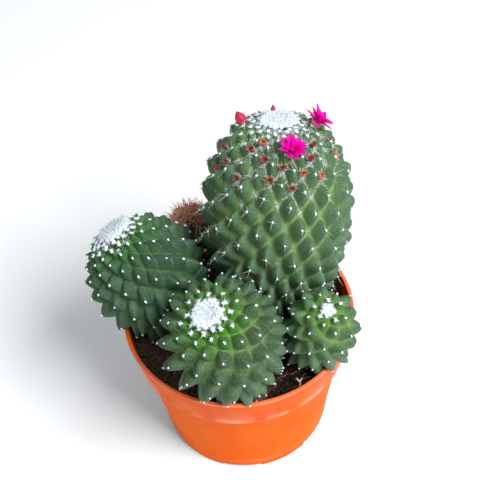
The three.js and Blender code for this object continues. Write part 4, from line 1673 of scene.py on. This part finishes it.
@dataclass(kw_only=True)
class Flower:
    """An open flower: a tube and layers of narrow pointed petals.

    Attributes:
        number: Its number in the frame.
        axil: The furrow of the main stem that it grows from.
        lift: How far it turns up towards the stem's tip.
        size: Length of its petals against the layers' own.
        skew: How much longer the petals towards the stem's tip are.
    """

    number: int
    axil: int
    lift: float
    size: float
    skew: float

    # Petals in a layer, their length and width, and how far they lean out at the foot, in degrees.
    LAYERS = ((5, 4.6, 2.6, 0.0), (7, 6.0, 2.8, 14.0), (9, 6.9, 2.9, 30.0), (7, 7.0, 2.4, 50.0))
    CURL = 20.0
    THICKNESS = 0.32
    # Radius and height of the circle that the petals start from.
    THROAT = (1.05, 4.8)
    # Radius and height along the tube, from its foot over the brim into the mouth.
    TUBE = ((0.7, 0.2), (1.1, 1.2), (1.35, 2.4), (1.8, 3.6), (2.4, 4.7), (2.2, 4.8), (1.2, 3.8))
    MOUTH = 3.2

    def petals(self) -> Surface:
        """All petals: flattened tubes along arcs that lean out, folded a little down the middle.

        Across a petal runs an ellipse; its half-width is a sine swell that ends in a point, and
        its middle line drops with the square of the place across it.

        Returns:
            The petals with the values "along" and "across".
        """
        rng = np.random.default_rng(self.axil)
        along = np.linspace(0.04, 0.96, 11)
        around = turn_steps(10)
        across = np.cos(around)
        far, high = self.THROAT
        shells = []
        for row, (count, length, width, spread) in enumerate(self.LAYERS):
            turn = TURN * (np.arange(count) + 0.5 * row) / count
            turn += rng.uniform(-0.12, 0.12, count)
            lean = np.radians(spread + self.CURL * along + rng.uniform(-12, 12, (count, 1)))
            grown = self.size * (1 + self.skew * np.sin(turn))[:, None]
            reach = grown * length * rng.uniform(0.78, 1.08, (count, 1)) * along
            cos_lean, sin_lean = np.cos(lean)[..., None], np.sin(lean)[..., None]
            half = (0.5 * width * np.sin(math.pi * (0.2 + 0.8 * along**1.3)) ** 0.7)[:, None]
            thick = 0.5 * self.THICKNESS * np.sin(around) * np.sin(math.pi * along)[:, None] ** 0.5
            aside, offset = half * across, thick - 0.45 * half * across**2
            out = far + reach[..., None] * sin_lean + cos_lean * offset
            up = high + reach[..., None] * cos_lean - sin_lean * offset
            cos, sin = np.cos(turn)[:, None, None], np.sin(turn)[:, None, None]
            local = np.stack([out * cos - aside * sin, out * sin + aside * cos, up], -1)
            first, last = local[:, 0].mean(1), local[:, -1].mean(1)
            shells.append(
                closed_shells(
                    local[:, :, ::-1],
                    cylindrical(far, turn, high),
                    last + 0.04 * (last - first),
                    along=per_ring(0, along, 1, len(around)),
                    across=np.pad(np.tile(np.abs(across[::-1]), len(along)), 1)[None],
                )
            )
        return MAIN.seated(Surface.joined(shells), self.axil, self.lift)

    def tube(self) -> Surface:
        """The tube: a flaring outline with shallow ribs, and a hollow mouth.

        Returns:
            One closed shell with the values "along" and "tone".
        """
        angle = turn_steps(24)
        radius, height = np.array(self.TUBE).T[..., None]
        rings = cylindrical(radius * (1 + 0.07 * np.cos(8 * angle)), angle, height)
        along = per_ring(0, height / height.max(), 0.8, len(angle))
        tube = upright(rings, 0, self.MOUTH, along=along, tone=0.1)
        return MAIN.seated(tube, self.axil, self.lift)

    def dress(self, tube: Material, petal: Material) -> None:
        """Adds the tube and the petals.

        Args:
            tube: Finish of the tube.
            petal: Finish of the petals.
        """
        name = f"flower_{self.number}"
        add_piece(f"{name}_tube_skin", self.tube(), tube, [f"{name}_tube"])
        add_piece(f"{name}_bloom", self.petals(), petal, [f"{name}_petals"])


@dataclass(kw_only=True)
class Bud:
    """A closed bud: petals folded round each other into a pointed cone.

    Attributes:
        number: Its number in the frame.
        axil: The furrow of the main stem that it grows from.
        height: Its height.
        radius: Its widest radius.
        tone: How brown it is, 0 to 1.
    """

    number: int
    axil: int
    height: float
    radius: float
    tone: float

    LIFT = 0.3
    WIDEST = 0.55

    def surface(self) -> Surface:
        """Rings whose waves twist upwards, so that the folds wind round the bud.

        Returns:
            One closed shell with the values "along" and "tone".
        """
        angle, levels = turn_steps(40), np.linspace(0.03, 0.985, 22)[:, None]
        share = np.clip((levels - self.WIDEST) / (1 - self.WIDEST), 0, 1)
        swell = np.where(
            levels < self.WIDEST,
            lerp(0.32, 1.0, np.sin(math.pi / 2 * levels / self.WIDEST)),
            np.cos(math.pi / 2 * share) ** 0.85,
        )
        fold = np.abs(np.sin(2.5 * angle + 2.2 * levels)) * smoothstep(0.1, 0.6, levels)
        radius = self.radius * swell * (1 - 0.2 * fold)
        rings = cylindrical(radius, angle, self.height * levels)
        along = per_ring(0, levels, 1, len(angle))
        bud = upright(rings, 0, self.height, along=along, tone=self.tone)
        return MAIN.seated(bud, self.axil, self.LIFT)

    def dress(self, folded: Material) -> None:
        """Adds the bud in its finish."""
        name = f"bud_{self.number}"
        add_piece(f"{name}_folds", self.surface(), folded, [name])


@dataclass
class DriedFlowers:
    """The shrivelled remains of older flowers on the main stem.

    Attributes:
        tones: How orange each one is, by the furrow that it sits in.
    """

    tones: dict[int, float]

    # Radius and height along one funnel, from its foot over the torn ends into its mouth.
    FUNNEL = (
        (0.6, 0.6), (1.1, 1.8), (1.5, 2.9), (1.9, 3.8), (2.2, 4.4), (1.9, 4.6), (1.3, 4.0),
        (0.8, 3.2), (0.4, 2.6),
    )
    MOUTH = 2.3

    def funnel(self, axil: int, rng: Random) -> Surface:
        """One flower: a crumpled funnel with torn, curled petal ends.

        Args:
            axil: The furrow that it sits in.
            rng: Source of its crumples.

        Returns:
            One closed shell, with the values "along" and "tone".
        """
        angle = turn_steps(26)
        radius, height = np.array(self.FUNNEL).T[..., None]
        along = per_ring(0, height / height.max(), 0.2, len(angle))
        ends = smoothstep(2.2, 4.4, height)
        tear = np.abs(np.sin(3.5 * angle + rng.uniform(0, 6)))
        tear = tear * rng.uniform(0.4, 1.5, len(angle))
        crumple = 1 + 0.2 * rng.normal(size=(len(radius), len(angle))) * (0.5 + 0.5 * ends)
        radius = radius * crumple * (1 + 0.3 * ends * (tear - 0.6))
        height = height * rng.uniform(0.9, 1.1) - 1.1 * ends * (1 - tear)
        height = height + 0.22 * rng.normal(size=height.shape) * ends
        rings = cylindrical(radius, angle, height) * [1, rng.uniform(0.5, 0.85), 1]
        funnel = upright(rings, 0, self.MOUTH, along=along, tone=self.tones[axil])
        return MAIN.seated(funnel, axil, TIP_LIFT)

    def fringe(self, rng: Random) -> Surface:
        """Pale wool and torn shreds that stand round every dried flower.

        Args:
            rng: Source of the shreds.

        Returns:
            The wool and shreds as one surface.
        """
        place, axes = MAIN.in_axil(np.array(list(self.tones)), TIP_LIFT)
        low = stars(place + 1.2 * axes[2], axes, 70, 2.6, 0.6, 0.26, 0.0, rng, bend=0.3)
        high = stars(place + 2.8 * axes[2], axes, 9, 1.3, 0.9, 0.3, 1.0, rng, bend=0.5)
        return Surface.joined([low, high])

    def dress(self) -> None:
        """Adds every funnel, and the fringe round them."""
        dried = DriedPetal(name="dried_petals", roughness=0.8, depth=0.25, specular=0.2).material()
        shreds = Fibre(
            name="dried_fringe", roughness=0.85, grain=1200.0, depth=0.1,
            root=rgb(232, 228, 222), tip=rgb(244, 240, 234), other=rgb(150, 96, 74),
        ).material()
        rng = np.random.default_rng(11)
        for number, axil in enumerate(self.tones, 1):
            name, node = f"dry_bloom_{number:02d}", f"dried_flower_{number:02d}"
            add_piece(name, self.funnel(axil, rng), dried, [node])
        add_piece("dried_fringe", self.fringe(rng), shreds)


FLOWERS = (
    Flower(number=1, axil=165, lift=0.8, size=1.05, skew=0.25),
    Flower(number=2, axil=188, lift=-0.2, size=1.15, skew=0.0),
)
BUDS = (
    Bud(number=1, axil=179, height=8.8, radius=2.9, tone=0.3),
    Bud(number=2, axil=203, height=5.6, radius=1.3, tone=1.0),
)


def dress_flowers() -> None:
    """Flowers, buds and the dried remains on the main stem."""
    petal = Petal(name="petals", roughness=0.5, specular=0.12).material()
    tube = Banded(
        name="flower_tube", roughness=0.55, foot=rgb(150, 170, 90), middle=rgb(240, 150, 110),
        tip=rgb(255, 150, 190), blotch=rgb(220, 110, 90),
    ).material()
    folded = Banded(
        name="bud", roughness=0.5, depth=0.08, foot=rgb(212, 104, 100), middle=rgb(188, 12, 80),
        tip=rgb(150, 4, 62), blotch=rgb(198, 70, 104), blotches=260.0,
    ).material()
    for flower in FLOWERS:
        flower.dress(tube, petal)
    for bud in BUDS:
        bud.dress(folded)
    DriedFlowers(DRIED_FLOWERS).dress()


# ---- soil


@dataclass
class Soil:
    """Peat that fills the pot, its crumbs and fibres, and one pale sprig.

    Attributes:
        rings: Rings of the peat's top.
        sides: Steps round it.
        crumbs: How many crumbs lie on it.
        fibres: How many fibres are strewn on it, before those that meet the wall are left out.
    """

    rings: int = 130
    sides: int = 330
    crumbs: int = 1500
    fibres: int = 620

    # Height and length of the fine lumps.
    LUMPS = ((0.45, 5.0), (0.3, 2.4), (0.16, 1.2))
    # Radius and height of the peat's foot and sides, along the pot's wall.
    SIDE = ((44.0, 3.5), (45.0, 7.0), (52.4, 61.5), (53.9, 63.5))
    # Depth of the well for each stem, and places drawn for each that is wanted on the open peat.
    WELL = ROOT_DEPTH - 4
    DRAWN = 6
    # The sprig's stalk and two twigs: where each starts, its direction, length and width.
    SPRIG = (
        ((26.6, -46.6, 75.0), (0.05, 0.2, 1.0), 5.6, 1.5),
        ((26.7, -45.7, 79.4), (-0.55, 0.25, 0.95), 3.6, 1.0),
        ((26.7, -45.7, 79.4), (0.45, 0.25, 1.0), 3.2, 0.9),
    )

    def edge(self) -> float:
        """Radius of the peat's top."""
        return float(pot_inside(SOIL_LEVEL)) - RIM_CLEARANCE

    def level(self, x: Array, y: Array) -> Array:
        """Height of the peat: broad swells as in the frame, with lumps at three finer scales.

        Args:
            x: Places along X in mm.
            y: Places along Y in mm.

        Returns:
            The height at each place.
        """
        broad = np.sin(0.31 * x + 1.3) * np.cos(0.27 * y - 0.4) + 0.5 * np.sin(0.6 * (x - y))
        flat = np.stack([x, y, np.zeros_like(x)], -1)
        lumps = enumerate(self.LUMPS, 1)
        fine = sum(height * ripples(flat, length, seed) for seed, (height, length) in lumps)
        return SOIL_LEVEL + SOIL_LUMP * broad + fine

    def under_stem(self, x: Array, y: Array) -> Array:
        """1 where a stem stands, 0 in the open, eased over its edge.

        Args:
            x: Places along X in mm.
            y: Places along Y in mm.

        Returns:
            The share at each place.
        """
        inside = np.zeros_like(x)
        for stem in STEMS:
            rise = (SOIL_LEVEL - stem.origin[2]) / stem.axis[2]
            centre = stem.origin + rise * stem.axis
            radius = float(stem.skin_radius(np.array(rise))) - 0.8
            away = np.hypot(x - centre[0], y - centre[1])
            inside = np.maximum(inside, 1 - smoothstep(radius - 1.2, radius, away))
        return inside

    def bed(self) -> Surface:
        """The peat: a fine lumpy top with a well for each stem, closed below along the pot.

        Returns:
            One closed shell with the value "tone".
        """
        side = np.array(self.SIDE)
        share = np.sqrt(np.linspace(1, 0.0004, self.rings))
        radius = np.concatenate([side[:, 0], self.edge() * share])[:, None]
        rings = cylindrical(radius, turn_steps(self.sides), 0.0)
        x, y = rings[..., 0], rings[..., 1]
        rings[..., 2] = self.level(x, y) - self.WELL * self.under_stem(x, y)
        rings[: len(side), :, 2] = side[:, 1:]
        return upright(rings, side[0, 1], rings[-1, :, 2].mean(), tone=0.0)

    def open_spots(self, total: int, rng: Random) -> Array:
        """Random places on the open peat, clear of the stems.

        Args:
            total: How many.
            rng: Source of the places.

        Returns:
            Their points, of shape (total, 3).
        """
        drawn = self.DRAWN * total
        radius = self.edge() * np.sqrt(rng.uniform(0, 1, drawn)) - 0.6
        spots = cylindrical(radius, rng.uniform(0, TURN, drawn), 0.0)
        x, y = spots[:, 0], spots[:, 1]
        spots[:, 2] = self.level(x, y)
        return spots[self.under_stem(x, y) < 0.01][:total]

    def crumb_heap(self, rng: Random) -> Surface:
        """Crumbs of peat that lie half sunk in the top.

        Args:
            rng: Source of the crumbs.

        Returns:
            The crumbs as one surface.
        """
        spots = self.open_spots(self.crumbs, rng)
        total = len(spots)
        size = 0.45 + 1.0 * rng.uniform(0, 1, total) ** 3
        shape = rng.uniform(0.6, 1.15, (total, 3))
        forward = unit(rng.normal(size=(total, 3)))
        axes = (*axes_about(forward, unit(rng.normal(size=(total, 3)))), forward)
        tones = rng.uniform(0, 1, total) ** 2
        radii = size[:, None] * shape
        return blobs(spots + [0, 0, 0.15], axes, radii, tones, 0.22, rng, rings=4, sides=6)

    def fibre_mat(self, rng: Random) -> Surface:
        """Loose reddish fibres along the pot's wall, with few on the +X side, where the peat is
        painted in shade.

        Args:
            rng: Source of the fibres.

        Returns:
            The fibres as one surface.
        """
        spots = self.open_spots(self.fibres, rng)
        total = len(spots)
        tangent = unit(np.stack([-spots[:, 1], spots[:, 0], np.zeros(total)], -1))
        way = unit(tangent + 0.7 * rng.normal(size=(total, 3)) * [1, 1, 0.12])
        bend = 0.3 * rng.normal(size=(total, 3)) * [1, 1, 0.1]
        length = rng.uniform(3, 13, total)
        edge = self.edge() - 0.8
        tip = spots + length[:, None] * (way + bend)
        length = np.where(np.hypot(tip[:, 0], tip[:, 1]) > edge, 0.45 * length, length)
        tip = spots + length[:, None] * (way + bend)
        kept = np.hypot(tip[:, 0], tip[:, 1]) < edge
        # Few fibres on the +X side, where the peat is painted in shade.
        kept &= rng.uniform(size=total) < lerp(1, 0.1, smoothstep(-4, 18, spots[:, 0]))
        base = spots + rng.uniform(0.3, 1.3, (total, 1)) * [0, 0, 1]
        widths, tones = rng.uniform(0.25, 0.55, total), rng.uniform(0, 1, total)
        run = (values[kept] for values in (base, way, length, widths, bend, tones))
        return spikes(*run, stations=(0.0, 0.2, 0.4, 0.6, 0.8))

    def sprig(self) -> Surface:
        """The pale forked sprig that stands in the peat at the front.

        Returns:
            Its stalk and two twigs as one surface.
        """
        roots, ways, lengths, widths = (np.array(column) for column in zip(*self.SPRIG))
        straight, stations = np.zeros(roots.shape), (0.0, 0.25, 0.5, 0.75)
        return spikes(roots, unit(ways), lengths, widths, straight, 0.0, stations, sides=8)

    def dress(self) -> None:
        """Adds the peat and what lies on it."""
        peat = Peat(name="peat", roughness=0.95, grain=1500.0, depth=0.8, specular=0.15).material()
        fibre = Fibre(
            name="peat_fibre", roughness=0.8,
            root=rgb(178, 112, 86), tip=rgb(226, 160, 130), other=rgb(116, 74, 56),
        ).material()
        pale = Fibre(
            name="pale_sprig", roughness=0.6, grain=600.0, depth=0.1,
            root=rgb(222, 190, 170), tip=rgb(250, 226, 210), other=rgb(230, 200, 180),
        ).material()
        rng = np.random.default_rng(3)
        add_piece("peat_bed", self.bed(), peat, ["soil"])
        add_piece("peat_crumbs", self.crumb_heap(rng), peat)
        add_piece("peat_fibres", self.fibre_mat(rng), fibre)
        add_piece("pale_sprig", self.sprig(), pale)


# ---- pot


@dataclass
class Pot:
    """The moulded pot: foot ring, tapered body, deep collar and rounded lip.

    Attributes:
        sides: Steps round the wall.
        pad: Radius of the pad in the middle underneath.
        foot_width: Width of the foot ring.
        draft: How far the steps of the underside slope.
        drains: How many drain holes and slots it has.
        drain_circle: Radius of the circle that the holes lie on.
        drain_radius: Radius of a hole.
        slot_width: Width of a slot in the foot.
        slot_height: Height of a slot.
        slot_turn: How far the slots are turned from the holes, in degrees.
    """

    sides: int = 240
    pad: float = 12.0
    foot_width: float = 8.0
    draft: float = 1.2
    drains: int = 6
    drain_circle: float = 24.0
    drain_radius: float = 4.0
    slot_width: float = 22.0
    slot_height: float = 2.2
    slot_turn: float = -7.0

    # How deep the holes' and the slots' cutters reach, and the steps round a hole.
    DRAIN_DEPTH = 16.0
    SLOT_DEPTH = 24.0
    DRAIN_SIDES = 32
    # Height, half width and strength of the painted highlights along the collar's bead, the lip and
    # the foot band.
    HIGHLIGHT_RIDGES = ((BODY_TOP + 2.9, 1.9, 1.0), (POT_HEIGHT - 0.4, 0.5, 0.8), (8.0, 1.2, 0.35))

    def outline(self) -> Array:
        """The wall's outline, from the middle underneath round the lip to the floor inside.

        Returns:
            Radius and height of each point.
        """
        foot = BASE_RADIUS - FOOT_CORNER
        inner = foot - self.foot_width
        floor = FLOOR_RECESS + WALL
        body_top = COLLAR_RADIUS - COLLAR_STEP
        under = [
            (0, 0, 0),
            (self.pad, 0, 0.2), (self.pad + self.draft, FLOOR_RECESS, 0.3),
            (inner, FLOOR_RECESS, 0.3), (inner + self.draft, 0, 0.3),
        ]
        body = [
            (BASE_RADIUS - 0.3, 0, 0.5), (BASE_RADIUS + 0.1, FOOT_CORNER, 1.0),
            (BASE_RADIUS + 0.8, 8.0, 1.0), (BASE_RADIUS + 0.55, 9.2, 0.4),
            (body_top, BODY_TOP - 0.1, 0.3),
        ]
        collar = [
            (COLLAR_RADIUS + 1.0, BODY_TOP, 0.7), (COLLAR_RADIUS + 1.2, BODY_TOP + 2.6, 1.1),
            (COLLAR_RADIUS + 0.75, BODY_TOP + 4.0, 0.7),
        ]
        lip = [
            (RIM_RADIUS - LIP_PROUD, POT_HEIGHT - LIP_HEIGHT, 0.3),
            (RIM_RADIUS, POT_HEIGHT - 0.75 * LIP_HEIGHT, 0.3), (RIM_RADIUS, POT_HEIGHT, 0.9),
        ]
        inside = [
            (float(pot_inside(POT_HEIGHT)), POT_HEIGHT, 0.6),
            (float(pot_inside(BODY_TOP)), BODY_TOP + 1, 0.6), (body_top - WALL, BODY_TOP - 1, 0.6),
            (BASE_RADIUS - WALL, floor + FOOT_CORNER, 2.0), (foot, floor, 1.0), (0, floor, 0),
        ]
        return rounded_outline([*under, *body, *collar, *lip, *inside])

    def mesh(self) -> Mesh:
        """The turned wall with the drains and the foot's slots cut out.

        Returns:
            The mesh with the values "collar", "ridge" and "inside".
        """
        outline = self.outline()
        height = outline[:, 1]
        past_lip = np.arange(len(outline)) - int(np.argmax(height))
        # Painted highlight on the ridges of the outer wall.
        ridge = sum(
            strength * np.exp(-(((height - level) / half) ** 2))
            for level, half, strength in self.HIGHLIGHT_RIDGES
        )
        surface = turned(
            outline,
            self.sides,
            collar=smoothstep(BODY_TOP - 1.0, BODY_TOP + 1.0, height),
            ridge=(past_lip < 3) * ridge,
            # Painted shade on the inner wall, from just below the lip's top.
            inside=(past_lip > 4) * smoothstep(POT_HEIGHT - 0.2, POT_HEIGHT - 1.6, height),
        )
        wall = in_scene("wall", surface.mesh("wall"))
        cutter = in_scene("cutter", self._cutter())
        cut = wall.modifiers.new("drains", "BOOLEAN")
        cut.operation, cut.object, cut.solver = "DIFFERENCE", cutter, "EXACT"
        evaluated = wall.evaluated_get(bpy.context.evaluated_depsgraph_get())
        result = bpy.data.meshes.new_from_object(evaluated)
        result.name = "pot"
        for scratch in (wall, cutter):
            bpy.data.objects.remove(scratch)
        return result

    def _cutter(self) -> Mesh:
        """Cylinders for the drains and blocks for the slots.

        Returns:
            One mesh that holds them all.
        """
        shell = bmesh.new()
        radius, depth = self.drain_radius * MM, self.DRAIN_DEPTH * MM
        block = (self.SLOT_DEPTH * MM, self.slot_width * MM, 2 * self.slot_height * MM, 1)
        aside = Matrix.Rotation(math.radians(self.slot_turn), 4, "Z")
        for i in range(self.drains):
            turn = Matrix.Rotation(TURN * (i + 0.5) / self.drains, 4, "Z")
            bmesh.ops.create_cone(
                shell,
                cap_ends=True,
                segments=self.DRAIN_SIDES,
                radius1=radius,
                radius2=radius,
                depth=depth,
                matrix=turn @ Matrix.Translation((self.drain_circle * MM, 0, 0)),
            )
            slot = aside @ turn @ Matrix.Translation((BASE_RADIUS * MM, 0, 0))
            bmesh.ops.create_cube(shell, size=1, matrix=slot @ Matrix.Diagonal(block))
        mesh = bpy.data.meshes.new("cutter")
        shell.to_mesh(mesh)
        shell.free()
        return mesh

    def dress(self) -> None:
        """Adds the pot in its plastic."""
        plastic = Plastic(name="pot_plastic", roughness=0.5, grain=260.0, specular=0.015)
        add_piece("nursery_pot", self.mesh(), plastic.material(), ["pot"])


# ---- studio


@dataclass
class Studio:
    """The floor, the light, the surround and the camera.

    Attributes:
        eye: Where the camera stands.
        elevation: How far it looks down, in degrees.
        roll: Its turn about the line of sight, in degrees.
        pan: Its turn to the side, in degrees.
        tilt: Its turn upwards, in degrees.
        lens: Its focal length.
        sensor: Its sensor's width.
        half_floor: Half the floor's side.
        key_place: Where the soft light stands.
        key_size: The light's side.
        key_power: The light's power in watts.
        aim: Height above the floor that the light faces.
        sky: Colour of the surround.
        sky_strength: Its strength.
    """

    eye: tuple[float, float, float] = (0.0, -289.6, 456.9)
    elevation: float = 52.09
    roll: float = -5.40
    pan: float = 0.10
    tilt: float = -4.27
    lens: float = 67.5
    sensor: float = 36.0
    half_floor: float = 3000.0
    key_place: tuple[float, float, float] = (1050.0, -900.0, 1750.0)
    key_size: float = 1000.0
    key_power: float = 56.0
    aim: float = 100.0
    sky: Colour = (0.93, 0.985, 1.03, 1.0)
    sky_strength: float = 0.54

    def floor(self) -> None:
        """A wide plain sheet under the pot."""
        corners = np.array([(-1, -1, 0), (1, -1, 0), (1, 1, 0), (-1, 1, 0)])
        mesh = bpy.data.meshes.new("floor")
        mesh.from_pydata(corners * self.half_floor * MM, [], [(0, 1, 2, 3)])
        paper = Paper(name="floor_paper", roughness=0.9, grain=40.0, specular=0.2)
        mesh.materials.append(paper.material())
        in_scene("floor", mesh)

    def key(self) -> None:
        """A square soft light that faces the plant."""
        lamp = bpy.data.lights.new("key", "AREA")
        lamp.size, lamp.energy = self.key_size * MM, self.key_power
        holder = in_scene("key", lamp)
        holder.location = [x * MM for x in self.key_place]
        towards = Vector((0, 0, self.aim * MM)) - holder.location
        holder.rotation_euler = towards.to_track_quat("-Z", "Y").to_euler()

    def surround(self) -> None:
        """An even white surround."""
        world = bpy.data.worlds.new("surround")
        world.use_nodes = True
        background = world.node_tree.nodes["Background"]
        background.inputs["Color"].default_value = self.sky
        background.inputs["Strength"].default_value = self.sky_strength
        bpy.context.scene.world = world

    def camera(self) -> None:
        """The camera, turned by elevation, then roll, then a small pan and tilt."""
        data = bpy.data.cameras.new("camera")
        data.lens, data.sensor_width = self.lens, self.sensor
        data.clip_start, data.clip_end = 10 * MM, 20.0
        place = Matrix.Translation([x * MM for x in self.eye])
        turns = ((90 - self.elevation, "X"), (self.roll, "Z"), (-self.pan, "Y"), (-self.tilt, "X"))
        for degrees, axis in turns:
            place = place @ Matrix.Rotation(math.radians(degrees), 4, axis)
        camera = in_scene("camera", data)
        camera.matrix_world = place
        bpy.context.scene.camera = camera

    def build(self) -> None:
        """Sets up the whole studio."""
        bpy.context.scene.view_settings.view_transform = "Standard"
        self.floor()
        self.key()
        self.surround()
        self.camera()


# ---- assembly


def main() -> None:
    """Builds the studio and every piece in order."""
    logging.basicConfig(level=logging.INFO, format="%(message)s")
    Studio().build()
    Pot().dress()
    Soil().dress()
    dress_green_stems()
    DryTuft(WITHERED).dress()
    dress_flowers()


if __name__ == "__main__":
    main()
